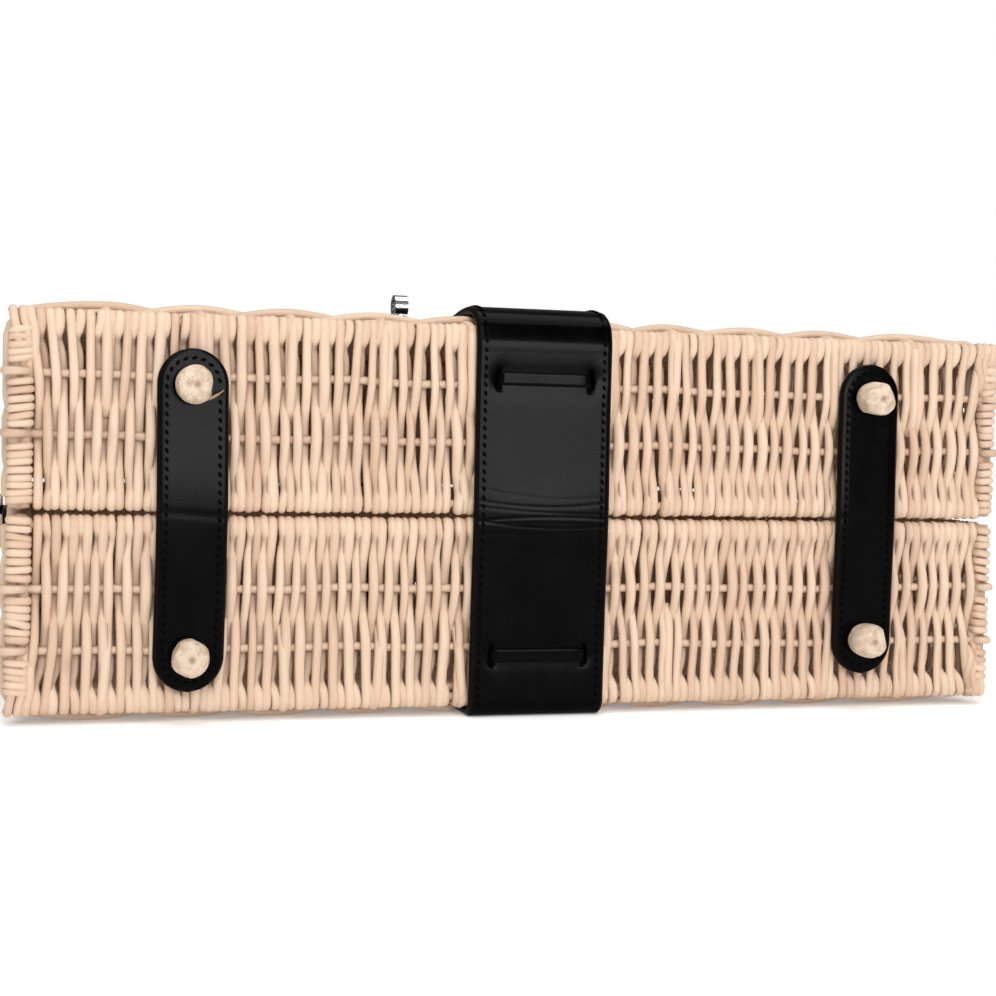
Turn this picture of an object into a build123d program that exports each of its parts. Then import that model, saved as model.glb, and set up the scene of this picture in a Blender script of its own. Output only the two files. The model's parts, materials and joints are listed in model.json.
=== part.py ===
from build123d import *
import math
import os

os.makedirs("parts", exist_ok=True)

# A two-half woven willow box bag lying on its back. X runs along the length, +Y from the
# base to the top, +Z from the back to the front. The floor is at z = 0. Millimetres.

# --- driving dimensions -------------------------------------------------------------------
base_length = 350.0
end_lean = 15.0
height = 250.0
half_depth = 64.0
seam_gap = 1.0
wall = 6.0
corner_radius = 7.0
edge_radius = 4.0

ridge_rise = 3.0
ridge_end_rise = 2.0
ridge_width = 6.0
ridge_inset = 11.0

leather = 3.0
leather_gap = 0.1
strap_width = 23.0
strap_length = 110.0
hinge_places = (("left", -118.2, -2.0, 87.0), ("right", 122.0, 0.4, 85.6))

peg_shank_radius = 4.0
peg_hole_gap = 0.3
peg_head_radius = 6.5
peg_head_height = 10.0
peg_tail = 3.0

band_width = 48.0
band_front_end = 100.0
band_top_return = 24.0
band_outer_radius = 5.0
band_swell_start = 127.0
band_swell_y = -112.0
band_swell_end = -86.0
tab_length = 34.0
tab_width = 5.0
tab_thickness = 1.5
tab_offset = 46.5

flap_leather = 2.8
flap_front_end = 50.0
flap_root_z = 8.0
flap_tip_radius = 14.0
flap_peg_x = 13.0
flap_peg_z = 16.0
flap_peg_head_radius = 5.5
flap_peg_head_height = 5.0

lock_y = 72.0
slot_length = 13.0
slot_width = 7.6
plate_length = 32.0
plate_width = 20.0
plate_thickness = 1.2
rivet_spacing = 24.0
rivet_radius = 1.2
rivet_stand = 0.2
collar_height = 0.6
spigot_radius = 2.0
spigot_height = 5.0
running_gap = 0.05
neck_radius = 3.1
neck_cap = 1.4
neck_sink = 1.2
eye_radius = 4.8
eye_hole_radius = 2.75
eye_length = 5.6

handle_z = 26.0
handle_reach = 62.0
handle_rise = 46.0
grip_radius = 5.5
handle_tab_width = 22.0
handle_tab_end = 100.0
handle_tab_start = 54.0
handle_peg_x = 84.0

chape_y = 62.0
chape_length = 34.0
chape_width = 14.0
chape_z = 50.8
chape_leather = 2.5
ring_wire = 1.25
ring_width = 20.0
ring_length = 11.0
ring_corner = 3.0
side_peg_inset = 11.0
side_peg_head_radius = 4.6
side_peg_shank_radius = 2.5
side_peg_head_height = 6.0

# --- places worked out from them ----------------------------------------------------------
base_y = -height / 2
top_y = height / 2
back_z = ridge_rise
rim_back_z = back_z + half_depth
rim_front_z = rim_back_z + seam_gap
front_z = rim_front_z + half_depth
seam_z = (rim_back_z + rim_front_z) / 2
lean_angle = math.degrees(math.atan(end_lean / height))
strap_outer_y = base_y - leather_gap - leather
band_outer_z = front_z + leather_gap + leather
plate_top_z = band_outer_z + plate_thickness
flap_inner_z = plate_top_z + 0.3
flap_outer_z = flap_inner_z + flap_leather
band_top_y = top_y + leather_gap + leather
flap_inner_y = band_top_y + leather_gap
flap_outer_y = flap_inner_y + flap_leather


def half_length(y):
    """Half the bag's length at a height y above or below its middle."""
    return base_length / 2 - end_lean * (y - base_y) / height


def trapezoid(inset):
    """The corners of the bag's front outline, moved in by inset."""
    low = base_y + inset
    high = top_y - inset
    return [
        (-half_length(low) + inset, low),
        (half_length(low) - inset, low),
        (half_length(high) - inset, high),
        (-half_length(high) + inset, high),
    ]


def end_plane(side):
    """A plane seen from the back, from a chape's foot: X out of the end wall, Y up along it."""
    out = (side * height, end_lean, 0)
    foot = (side * half_length(chape_y), chape_y, chape_z)
    return Plane(origin=foot, x_dir=out, z_dir=(0, 0, side))


def pass_hole(foot, out, radius):
    """A round hole through a wall, along out, in the current part."""
    with Locations(Plane(origin=foot, z_dir=out)):
        Cylinder(radius, 4 * wall, mode=Mode.SUBTRACT)


def woven_half(face_z, rim_z):
    """One woven tray: a face panel, four sides and two raised pairing courses."""
    inward = 1 if rim_z > face_z else -1
    with BuildPart() as half:
        with BuildSketch(Plane.XY.offset(face_z)) as outline:
            with BuildLine():
                Polyline(*trapezoid(0), close=True)
            make_face()
            fillet(outline.vertices(), corner_radius)
        extrude(amount=rim_z - face_z)
        face_edges = half.faces().sort_by(Axis.Z)[0 if inward > 0 else -1].edges()
        fillet(face_edges, edge_radius)
        crest_z = face_z - inward * ridge_rise
        for course_y in (base_y + ridge_inset, top_y - ridge_inset):
            with BuildSketch(Plane.XZ.offset(-course_y)) as course:
                with Locations((0, (crest_z + rim_z) / 2)):
                    Rectangle(2 * (half_length(course_y) + ridge_end_rise), abs(rim_z - crest_z))
                outer_corners = course.vertices().group_by(Axis.Y)[0 if inward > 0 else -1]
                fillet(outer_corners, corner_radius)
            extrude(amount=ridge_width / 2, both=True)
        with BuildSketch(Plane.XY.offset(face_z)):
            Rectangle(band_width + 2, height + 2 * leather)
        extrude(amount=-2 * inward * ridge_rise, mode=Mode.SUBTRACT)
        with BuildSketch(Plane.XY.offset(face_z + inward * wall)):
            with BuildLine():
                Polyline(*trapezoid(wall), close=True)
            make_face()
        extrude(amount=rim_z - face_z, mode=Mode.SUBTRACT)
        for _, strap_x, shift, spacing in hinge_places:
            foot = (strap_x, base_y, seam_z + shift - inward * spacing / 2)
            pass_hole(foot, (0, -1, 0), peg_shank_radius)
    return half


def peg(foot, out, side, shank_radius, head_radius, head_height, grip):
    """A whittled willow peg: domed head on the leather, tapered tail behind the wall."""
    profile_plane = Plane(origin=foot, x_dir=side, z_dir=Vector(*side).cross(Vector(*out)))
    with BuildPart() as whittled:
        with BuildSketch(profile_plane):
            with BuildLine():
                Polyline(
                    (0, head_height),
                    (0, -grip - peg_tail),
                    (0.6 * shank_radius, -grip - peg_tail),
                    (shank_radius, -grip),
                    (shank_radius, 0),
                    (0.93 * head_radius, 0),
                    (head_radius, 0.35 * head_height),
                    (0.88 * head_radius, 0.8 * head_height),
                    (0.6 * head_radius, 0.95 * head_height),
                    close=True,
                )
            make_face()
        revolve(axis=Axis(foot, out))
    return whittled


# --- the two woven halves -----------------------------------------------------------------
back_basket = woven_half(back_z, rim_back_z)
with BuildPart() as back_drilled:
    add(back_basket.part)
    for side in (-1, 1):
        pass_hole((side * flap_peg_x, top_y, flap_peg_z), (0, 1, 0), peg_shank_radius)
        pass_hole((side * handle_peg_x, top_y, handle_z), (0, 1, 0), peg_shank_radius)
        peg_at = end_plane(side).from_local_coords((0, side_peg_inset))
        pass_hole(peg_at, end_plane(side).x_dir, side_peg_shank_radius)
back_drilled.part.label = "back_basket"
export_step(back_drilled.part, "parts/back_basket.step")

front_basket = woven_half(front_z, rim_front_z)
with BuildPart() as front_drilled:
    add(front_basket.part)
    for side in (-1, 1):
        pass_hole((side * rivet_spacing / 2, lock_y, front_z), (0, 0, 1), rivet_radius)
front_drilled.part.label = "front_basket"
export_step(front_drilled.part, "parts/front_basket.step")

# --- hinge straps and their pegs ----------------------------------------------------------
for name, strap_x, shift, spacing in hinge_places:
    strap_z = seam_z + shift
    with BuildPart() as hinge_strap:
        with BuildSketch(Plane.XZ.offset(-base_y + leather_gap)):
            with Locations((strap_x, strap_z)):
                SlotOverall(strap_length, strap_width, rotation=90)
            with Locations((strap_x, strap_z + spacing / 2)):
                Circle(peg_shank_radius + peg_hole_gap, mode=Mode.SUBTRACT)
            with Locations((strap_x, strap_z - spacing / 2)):
                Circle(peg_shank_radius, mode=Mode.SUBTRACT)
        extrude(amount=leather)
    hinge_strap.part.label = f"hinge_strap_{name}"
    export_step(hinge_strap.part, f"parts/hinge_strap_{name}.step")

    for half_name, step, lift in (("back", -1, 0.0), ("front", 1, 0.1)):
        foot = (strap_x, strap_outer_y - lift, strap_z + step * spacing / 2)
        grip = leather + leather_gap + lift + wall
        base_peg = peg(
            foot, (0, -1, 0), (1, 0, 0), peg_shank_radius, peg_head_radius, peg_head_height, grip
        )
        base_peg.part.label = f"base_peg_{half_name}_{name}"
        export_step(base_peg.part, f"parts/base_peg_{half_name}_{name}.step")

# --- the wide centre band -----------------------------------------------------------------
band_low_y = strap_outer_y
band_swell_z = front_z + ridge_rise + leather + 0.3
with BuildPart() as centre_band:
    with BuildSketch(Plane.YZ) as band_outline:
        with BuildLine():
            Polyline(
                (band_swell_end, band_outer_z),
                (band_front_end, band_outer_z),
                (band_front_end, front_z + leather_gap),
                (base_y - leather_gap, front_z + leather_gap),
                (base_y - leather_gap, back_z - leather_gap),
                (top_y + leather_gap, back_z - leather_gap),
                (top_y + leather_gap, band_top_return),
                (band_top_y, band_top_return),
                (band_top_y, 0),
                (band_low_y, 0),
                (band_low_y, band_swell_start),
            )
            Spline(
                (band_low_y, band_swell_start),
                (band_swell_y, band_swell_z),
                tangents=((0, 1), (1, 0)),
            )
            Spline(
                (band_swell_y, band_swell_z),
                (band_swell_end, band_outer_z),
                tangents=((1, 0), (1, 0)),
            )
        make_face()
        base_back_corner = band_outline.vertices().group_by(Axis.X)[0].sort_by(Axis.Y)[0]
        top_back_corner = band_outline.vertices().group_by(Axis.X)[-1].sort_by(Axis.Y)[0]
        fillet(ShapeList([base_back_corner, top_back_corner]), band_outer_radius)
    extrude(amount=band_width / 2, both=True)
    for side in (-1, 1):
        pass_hole((side * flap_peg_x, top_y, flap_peg_z), (0, 1, 0), peg_shank_radius)
        with BuildSketch(Plane.XY.offset(band_outer_z)):
            with Locations((side * rivet_spacing / 2, lock_y)):
                Circle(rivet_radius + peg_hole_gap)
        extrude(amount=-leather - leather_gap, mode=Mode.SUBTRACT)
centre_band.part.label = "centre_band"
export_step(centre_band.part, "parts/centre_band.step")

for name, step, lift in (("back", -1, 0.0), ("front", 1, leather_gap)):
    with BuildPart() as band_tab:
        with BuildSketch(Plane.XZ.offset(-strap_outer_y + lift)):
            with Locations((0, seam_z + step * tab_offset)):
                RectangleRounded(tab_length, tab_width, 1.0)
        extrude(amount=tab_thickness)
    band_tab.part.label = f"band_tab_{name}"
    export_step(band_tab.part, f"parts/band_tab_{name}.step")

# --- the closing flap ---------------------------------------------------------------------
with BuildPart() as closing_flap:
    with BuildSketch(Plane.YZ):
        with BuildLine():
            Polyline(
                (flap_inner_y, flap_root_z),
                (flap_outer_y, flap_root_z),
                (flap_outer_y, flap_outer_z - band_outer_radius),
            )
            RadiusArc(
                (flap_outer_y, flap_outer_z - band_outer_radius),
                (flap_outer_y - band_outer_radius, flap_outer_z),
                -band_outer_radius,
            )
            Polyline(
                (flap_outer_y - band_outer_radius, flap_outer_z),
                (flap_front_end, flap_outer_z),
                (flap_front_end, flap_inner_z),
                (flap_outer_y - band_outer_radius, flap_inner_z),
            )
            RadiusArc(
                (flap_outer_y - band_outer_radius, flap_inner_z),
                (flap_inner_y, flap_outer_z - band_outer_radius),
                band_outer_radius - flap_leather,
            )
            Line((flap_inner_y, flap_outer_z - band_outer_radius), (flap_inner_y, flap_root_z))
        make_face()
    extrude(amount=band_width / 2, both=True)
    tip_edges = closing_flap.edges().filter_by(Axis.Z).group_by(Axis.Y)[0]
    fillet(tip_edges, flap_tip_radius)
    with BuildSketch(Plane.XY.offset(flap_outer_z)):
        with Locations((0, lock_y)):
            SlotOverall(slot_length, slot_width)
    extrude(amount=-2 * flap_leather, mode=Mode.SUBTRACT)
    for side in (-1, 1):
        with BuildSketch(Plane.XZ.offset(-flap_outer_y)):
            with Locations((side * flap_peg_x, flap_peg_z)):
                Circle(peg_shank_radius + peg_hole_gap)
        extrude(amount=2 * flap_leather, mode=Mode.SUBTRACT)
closing_flap.part.label = "closing_flap"
export_step(closing_flap.part, "parts/closing_flap.step")

for name, side in (("left", -1), ("right", 1)):
    foot = (side * flap_peg_x, flap_outer_y + 0.1, flap_peg_z)
    grip = flap_outer_y + 0.1 - top_y + wall
    flap_peg = peg(
        foot,
        (0, 1, 0),
        (1, 0, 0),
        peg_shank_radius,
        flap_peg_head_radius,
        flap_peg_head_height,
        grip,
    )
    flap_peg.part.label = f"flap_peg_{name}"
    export_step(flap_peg.part, f"parts/flap_peg_{name}.step")

# --- the turn lock ------------------------------------------------------------------------
with BuildPart() as lock_plate:
    with BuildSketch(Plane.XY.offset(band_outer_z)):
        with Locations((0, lock_y)):
            RectangleRounded(plate_length, plate_width, 5)
        with Locations((-rivet_spacing / 2, lock_y), (rivet_spacing / 2, lock_y)):
            Circle(rivet_radius, mode=Mode.SUBTRACT)
    extrude(amount=plate_thickness)
lock_plate.part.label = "lock_plate"
export_step(lock_plate.part, "parts/lock_plate.step")

backplate_top = front_z - wall
with BuildPart() as lock_backplate:
    with BuildSketch(Plane.XY.offset(backplate_top)):
        with Locations((0, lock_y)):
            RectangleRounded(plate_length, plate_width, 5)
        with Locations((-rivet_spacing / 2, lock_y), (rivet_spacing / 2, lock_y)):
            Circle(rivet_radius, mode=Mode.SUBTRACT)
    extrude(amount=-plate_thickness)
lock_backplate.part.label = "lock_backplate"
export_step(lock_backplate.part, "parts/lock_backplate.step")

rivet_low = backplate_top - plate_thickness - rivet_stand
with BuildPart() as lock_rivets:
    with BuildSketch(Plane.XY.offset(rivet_low)):
        with Locations((-rivet_spacing / 2, lock_y), (rivet_spacing / 2, lock_y)):
            Circle(rivet_radius)
    extrude(amount=plate_top_z + rivet_stand - rivet_low)
lock_rivets.part.label = "lock_rivets"
export_step(lock_rivets.part, "parts/lock_rivets.step")

with BuildPart() as lock_post:
    with BuildSketch(Plane.XY.offset(plate_top_z)):
        with Locations((0, lock_y)):
            Circle(neck_radius)
    extrude(amount=collar_height)
    with BuildSketch(Plane.XY.offset(plate_top_z + collar_height)):
        with Locations((0, lock_y)):
            Circle(spigot_radius)
    extrude(amount=spigot_height)
lock_post.part.label = "lock_post"
export_step(lock_post.part, "parts/lock_post.step")

neck_z = plate_top_z + collar_height + leather_gap
eye_z = neck_z + spigot_height + neck_cap + eye_radius - neck_sink
with BuildPart() as lock_knob:
    with BuildSketch(Plane.XY.offset(neck_z)):
        with Locations((0, lock_y)):
            Circle(neck_radius)
    extrude(amount=eye_z - eye_radius - neck_z + neck_sink)
    with BuildSketch(Plane.YZ):
        with Locations((lock_y, eye_z)):
            Circle(eye_radius)
    extrude(amount=eye_length / 2, both=True)
    with BuildSketch(Plane.YZ):
        with Locations((lock_y, eye_z)):
            Circle(eye_hole_radius)
    extrude(amount=eye_length, both=True, mode=Mode.SUBTRACT)
    with BuildSketch(Plane.XY.offset(neck_z)):
        with Locations((0, lock_y)):
            Circle(spigot_radius + running_gap)
    extrude(amount=spigot_height, mode=Mode.SUBTRACT)
lock_knob.part.label = "lock_knob"
export_step(lock_knob.part, "parts/lock_knob.step")

# --- the carrying handle ------------------------------------------------------------------
grip_y = top_y + leather_gap + grip_radius
arch_radius = (handle_reach**2 + handle_rise**2) / (4 * handle_rise)
arch_turn = 2 * math.degrees(math.atan(handle_rise / handle_reach))
with BuildPart() as handle:
    with BuildLine(Plane(origin=(0, grip_y, handle_z))) as grip_path:
        foot_left = JernArc((-handle_reach, 0), (1, 0), arch_radius, arch_turn)
        crown = JernArc(foot_left @ 1, foot_left % 1, arch_radius, -2 * arch_turn)
        JernArc(crown @ 1, crown % 1, arch_radius, arch_turn)
    with BuildSketch(Plane(origin=grip_path.wire() @ 0, z_dir=(1, 0, 0))):
        Circle(grip_radius)
    sweep(path=grip_path.wire())
    for side in (-1, 1):
        with BuildSketch(Plane.XZ.offset(-top_y - leather_gap - leather)):
            with Locations((side * (handle_tab_start + handle_tab_end) / 2, handle_z)):
                SlotOverall(handle_tab_end - handle_tab_start, handle_tab_width)
            with Locations((side * handle_peg_x, handle_z)):
                Circle(peg_shank_radius, mode=Mode.SUBTRACT)
        extrude(amount=leather)
handle.part.label = "handle"
export_step(handle.part, "parts/handle.step")

for name, side in (("left", -1), ("right", 1)):
    foot = (side * handle_peg_x, top_y + leather_gap + leather, handle_z)
    handle_peg = peg(
        foot,
        (0, 1, 0),
        (1, 0, 0),
        peg_shank_radius,
        peg_head_radius,
        peg_head_height,
        leather + leather_gap + wall,
    )
    handle_peg.part.label = f"handle_peg_{name}"
    export_step(handle_peg.part, f"parts/handle_peg_{name}.step")

# --- the shoulder-strap rings on the ends -------------------------------------------------
bore = ring_wire + running_gap
loop_radius = bore + chape_leather
for name, side in (("left", -1), ("right", 1)):
    wall_plane = end_plane(side)
    end_out = wall_plane.x_dir
    bar_at = wall_plane.from_local_coords((leather_gap + loop_radius, chape_length))
    peg_at = wall_plane.from_local_coords((leather_gap + chape_leather, side_peg_inset))

    with BuildPart() as side_chape:
        with BuildSketch(wall_plane):
            with Locations((leather_gap + chape_leather / 2, chape_length / 2)):
                Rectangle(chape_leather, chape_length)
            with Locations((leather_gap + loop_radius, chape_length)):
                Circle(loop_radius)
                Circle(bore, mode=Mode.SUBTRACT)
        extrude(amount=chape_width / 2, both=True)
        pass_hole(peg_at, end_out, side_peg_shank_radius)
    side_chape.part.label = f"side_chape_{name}"
    export_step(side_chape.part, f"parts/side_chape_{name}.step")

    side_peg = peg(
        peg_at,
        end_out,
        (0, 0, 1),
        side_peg_shank_radius,
        side_peg_head_radius,
        side_peg_head_height,
        chape_leather + leather_gap + wall,
    )
    side_peg.part.label = f"side_peg_{name}"
    export_step(side_peg.part, f"parts/side_peg_{name}.step")

    ring_plane = Plane(origin=bar_at, x_dir=(0, 0, 1), z_dir=end_out)
    bow = -side * ring_length
    with BuildPart() as side_ring:
        with BuildLine(ring_plane) as ring_path:
            FilletPolyline(
                (-ring_width / 2, 0),
                (ring_width / 2, 0),
                (ring_width / 2, bow),
                (-ring_width / 2, bow),
                radius=ring_corner,
                close=True,
            )
        ring_wire_path = ring_path.wire()
        with BuildSketch(Plane(origin=ring_wire_path @ 0, z_dir=ring_wire_path % 0)):
            Circle(ring_wire)
        sweep(path=ring_wire_path)
    side_ring.part.label = f"side_ring_{name}"
    export_step(side_ring.part, f"parts/side_ring_{name}.step")
    print(name, "ring bar at", [round(c, 3) for c in bar_at], "wall axis", ring_plane.y_dir)

print("seam z", seam_z, "front z", front_z, "flap outer", flap_outer_y, flap_outer_z, "eye z", eye_z)
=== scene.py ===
# %% [markdown]
# # A woven willow box bag
#
# The bag is two shallow willow baskets, hinged along the base by leather straps. It lies on
# its back. +X runs along the bag, +Y from the base to the handle, +Z from the back to the
# front, where the lock is. The first cell loads the frame, which holds every size and joint.

# %% Load the frame
import json
import math

import bpy
import numpy as np
from mathutils import Matrix, Vector


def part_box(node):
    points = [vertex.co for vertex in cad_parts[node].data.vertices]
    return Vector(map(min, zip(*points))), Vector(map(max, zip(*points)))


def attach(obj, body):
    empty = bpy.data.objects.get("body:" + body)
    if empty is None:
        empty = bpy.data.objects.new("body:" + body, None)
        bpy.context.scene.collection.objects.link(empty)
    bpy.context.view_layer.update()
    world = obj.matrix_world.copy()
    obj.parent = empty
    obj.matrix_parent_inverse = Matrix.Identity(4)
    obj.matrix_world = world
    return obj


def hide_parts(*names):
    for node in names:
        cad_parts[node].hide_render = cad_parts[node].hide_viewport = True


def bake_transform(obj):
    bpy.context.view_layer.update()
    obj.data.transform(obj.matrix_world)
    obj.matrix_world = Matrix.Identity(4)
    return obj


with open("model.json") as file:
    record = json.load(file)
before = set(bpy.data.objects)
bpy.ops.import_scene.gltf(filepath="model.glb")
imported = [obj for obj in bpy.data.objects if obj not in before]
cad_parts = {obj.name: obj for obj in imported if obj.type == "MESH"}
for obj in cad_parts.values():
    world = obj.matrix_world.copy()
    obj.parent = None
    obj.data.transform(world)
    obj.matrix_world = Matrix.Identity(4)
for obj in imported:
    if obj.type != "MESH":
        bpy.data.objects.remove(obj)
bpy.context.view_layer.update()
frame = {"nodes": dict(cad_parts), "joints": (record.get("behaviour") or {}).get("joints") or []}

# %% [markdown]
# Blender works in metres, but a basket maker thinks in millimetres. The bag's lengths below are
# in millimetres, and `MM` turns them into metres where a mesh or a fold is made.

# %% Sizes from the frame
MM = 0.001


def box_mm(node):
    """The lowest and highest corner of a CAD node, in millimetres."""
    low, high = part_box(node)
    return np.array(low) / MM, np.array(high) / MM


def joint_at(name):
    """A joint's pivot, in millimetres."""
    found = [joint for joint in frame["joints"] if joint["name"] == name]
    return np.array(found[0]["pos_m"]) / MM


back_low, back_high = box_mm("back_basket")
front_low, front_high = box_mm("front_basket")
BASE_Y, TOP_Y = back_low[1], back_high[1]
SEAM_Z = (back_high[2] + front_low[2]) / 2
RIM_GAP = (front_low[2] - back_high[2]) / 2
COURSE_RISE = 3.0
COURSE_END_RISE = 2.0
BACK_Z = back_low[2] + COURSE_RISE
FRONT_Z = front_high[2] - COURSE_RISE
COURSE_INSET = 11.0
HALF_BASE = 175.0
END_LEAN = 15.0
print("base y", BASE_Y, "top y", TOP_Y, "seam z", SEAM_Z, "faces", BACK_Z, FRONT_Z)


def half_length(y):
    """Half the bag's length at a height y: the ends lean in towards the top."""
    return HALF_BASE - END_LEAN * (y - BASE_Y) / (TOP_Y - BASE_Y)


# %% [markdown]
# Node trees are easier to read as sums. `Sock` wraps one output socket, and its operators add
# Math nodes, so that `1 - mask` builds a Subtract node. `Tree.node` makes any other node from
# its type, its settings, and the values or links of its sockets.

# %% Shader maths as expressions
class Sock:
    """An output socket that can be used in sums."""

    def __init__(self, tree, socket):
        self.tree = tree
        self.socket = socket

    def maths(self, operation, *values):
        return self.tree.node("ShaderNodeMath", {"operation": operation}, *values)

    def __add__(self, other):
        return self.maths("ADD", self, other)

    def __radd__(self, other):
        return self.maths("ADD", other, self)

    def __sub__(self, other):
        return self.maths("SUBTRACT", self, other)

    def __rsub__(self, other):
        return self.maths("SUBTRACT", other, self)

    def __mul__(self, other):
        return self.maths("MULTIPLY", self, other)

    def __rmul__(self, other):
        return self.maths("MULTIPLY", other, self)

    def smooth(self, low, high):
        """0 below low, 1 above high, and a soft step between them."""
        settings = {"interpolation_type": "SMOOTHSTEP"}
        return self.tree.node("ShaderNodeMapRange", settings, self, low, high, 0.0, 1.0)


class Tree:
    """One material's nodes."""

    def __init__(self, name):
        self.material = bpy.data.materials.new(name)
        self.material.use_nodes = True
        self.nodes = self.material.node_tree.nodes
        self.links = self.material.node_tree.links
        self.shader = self.nodes["Principled BSDF"]

    def put(self, socket, value):
        if isinstance(value, Sock):
            self.links.new(value.socket, socket)
        else:
            socket.default_value = value

    def node(self, kind, settings=None, *values, out=0, **named):
        made = self.nodes.new(kind)
        for key, value in (settings or {}).items():
            setattr(made, key, value)
        for socket, value in zip(made.inputs, values):
            self.put(socket, value)
        for key, value in named.items():
            self.put(made.inputs[key.replace("_", " ")], value)
        return Sock(self, made.outputs[out])

    def attribute(self, name, out="Fac"):
        return self.node("ShaderNodeAttribute", {"attribute_name": name}, out=out)

    def noise(self, vector, scale, detail=3.0):
        return self.node(
            "ShaderNodeTexNoise", {}, Vector=vector, Scale=scale, Detail=detail, Roughness=0.55
        )

    def stretch(self, vector, x, y, z):
        return self.node("ShaderNodeVectorMath", {"operation": "MULTIPLY"}, vector, (x, y, z))

    def mix(self, factor, first, second):
        """A colour between two colours."""
        made = self.nodes.new("ShaderNodeMix")
        made.data_type = "RGBA"
        self.put(made.inputs["Factor"], factor)
        self.put(made.inputs[6], first)
        self.put(made.inputs[7], second)
        return Sock(self, made.outputs[2])

    def bump(self, height, distance, strength=1.0):
        return self.node(
            "ShaderNodeBump", {}, Height=height, Distance=distance, Strength=strength
        )

    def set(self, **named):
        for key, value in named.items():
            self.put(self.shader.inputs[key.replace("_", " ")], value)
        return self.material


# %% [markdown]
# Peeled willow is pale, a little pink, and satin. Each rod dried in its own way, so the shade
# changes from rod to rod, with long streaks and a few stains. The meshes carry two numbers
# for this: `rod`, one random value for each rod, and `grain`, a place along and round it.

# %% Willow
def willow(name, pale, warm, dark):
    tree = Tree(name)
    rod = tree.attribute("rod")
    grain = tree.attribute("grain", out="Vector")
    streaks = tree.noise(tree.stretch(grain, 0.035, 0.9, 1.0), 1.0)
    patches = tree.noise(tree.stretch(grain, 0.028, 0.05, 1.0), 1.0, detail=2.0)
    fibres = tree.noise(tree.stretch(grain, 0.16, 4.2, 1.0), 1.0, detail=2.0)
    tone = (rod * 0.55 + streaks * 0.5 + patches * 0.45 - 0.28).smooth(0.12, 0.95)
    body = tree.mix(tone, (*pale, 1), (*warm, 1))
    stain = (patches - 0.04 * rod).smooth(0.62, 0.8) * 0.55
    body = tree.mix(stain, body, (*dark, 1))
    body = tree.mix(fibres.smooth(0.56, 0.78) * 0.18, body, (*dark, 1))
    relief = streaks * 0.6 + fibres * 0.4
    return tree.set(
        Base_Color=body,
        Roughness=0.52 + streaks * 0.16,
        Specular_IOR_Level=0.35,
        Normal=tree.bump(relief, 0.00022, 0.8),
    )


WILLOW = willow("peeled_willow", (0.71, 0.535, 0.395), (0.59, 0.395, 0.275), (0.38, 0.22, 0.13))
RIB = willow("rib_willow", (0.65, 0.48, 0.35), (0.55, 0.37, 0.26), (0.36, 0.22, 0.13))
print("materials:", WILLOW.name, RIB.name)

# %% [markdown]
# The pegs are the same wood cut across and whittled: a paler face with a small brown pith at
# the centre, faint rings and knife marks. `disc` is the distance from the peg's axis.

# %% Whittled peg wood
def whittled_wood():
    tree = Tree("whittled_willow")
    disc = tree.attribute("disc")
    grain = tree.attribute("grain", out="Vector")
    cloud = tree.noise(tree.stretch(grain, 0.35, 0.35, 0.35), 1.0)
    fine = tree.noise(tree.stretch(grain, 2.4, 2.4, 0.5), 1.0)
    body = tree.mix(cloud.smooth(0.35, 0.75), (0.72, 0.585, 0.455, 1), (0.50, 0.36, 0.26, 1))
    body = tree.mix(fine.smooth(0.5, 0.72) * 0.6, body, (0.30, 0.19, 0.12, 1))
    pith = 1 - (disc + cloud * 1.2).smooth(0.9, 2.4)
    body = tree.mix(pith * 0.75, body, (0.26, 0.14, 0.07, 1))
    return tree.set(
        Base_Color=body,
        Roughness=0.66 + fine * 0.12,
        Specular_IOR_Level=0.25,
        Normal=tree.bump(fine * 0.7 + cloud * 0.3, 0.0004, 0.9),
    )


PEG_WOOD = whittled_wood()

# %% [markdown]
# The leather is smooth black bridle leather: almost black, with a soft sheen, a faint pebble
# grain and a few rubs. Its cut edges are painted and burnished, a little browner. `edge` is the
# distance to the nearest cut edge, and a pressed line runs along the stitches there.

# %% Leather and thread
def leather(name, line_inset):
    tree = Tree(name)
    edge = tree.attribute("edge")
    grain = tree.attribute("grain", out="Vector")
    pebble = tree.node("ShaderNodeTexVoronoi", {}, Vector=grain, Scale=1.7)
    fine = tree.noise(grain, 2.6, detail=4.0)
    rubs = tree.noise(tree.stretch(grain, 0.06, 0.09, 0.09), 1.0, detail=4.0)
    worn = rubs.smooth(0.35, 0.75)
    body = tree.mix(worn, (0.0006, 0.0005, 0.0005, 1), (0.0015, 0.0013, 0.0013, 1))
    rim = 1 - edge.smooth(0.35, 1.1)
    body = tree.mix(rim * 0.85, body, (0.006, 0.0038, 0.0034, 1))
    away = edge.maths("ABSOLUTE", edge - line_inset)
    groove = 1 - away.smooth(0.3, 0.95)
    relief = pebble * 0.03 + fine * 0.01 + rubs * 0.04 - groove * 0.06
    return tree.set(
        Base_Color=body,
        Roughness=0.14 + rubs * 0.10 + rim * 0.15,
        Specular_IOR_Level=0.035,
        Normal=tree.bump(relief, 0.0004, 0.85),
    )


def thread():
    tree = Tree("waxed_black_thread")
    grain = tree.attribute("grain", out="Vector")
    twist = tree.node("ShaderNodeTexWave", {}, Vector=grain, Scale=2.2, Distortion=0.6)
    body = tree.mix(twist, (0.0006, 0.0005, 0.0005, 1), (0.003, 0.0022, 0.002, 1))
    return tree.set(Base_Color=body, Roughness=0.55 + twist * 0.2, Specular_IOR_Level=0.02)


STITCH_INSET = 3.0
FAR_FROM_EDGE = 9.0
LEATHER = leather("black_bridle_leather", STITCH_INSET)
THREAD = thread()

# %% [markdown]
# The lock and the side rings are polished nickel. A polished surface still has hair lines and
# finger marks, so a fine noise drives the roughness.

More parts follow.
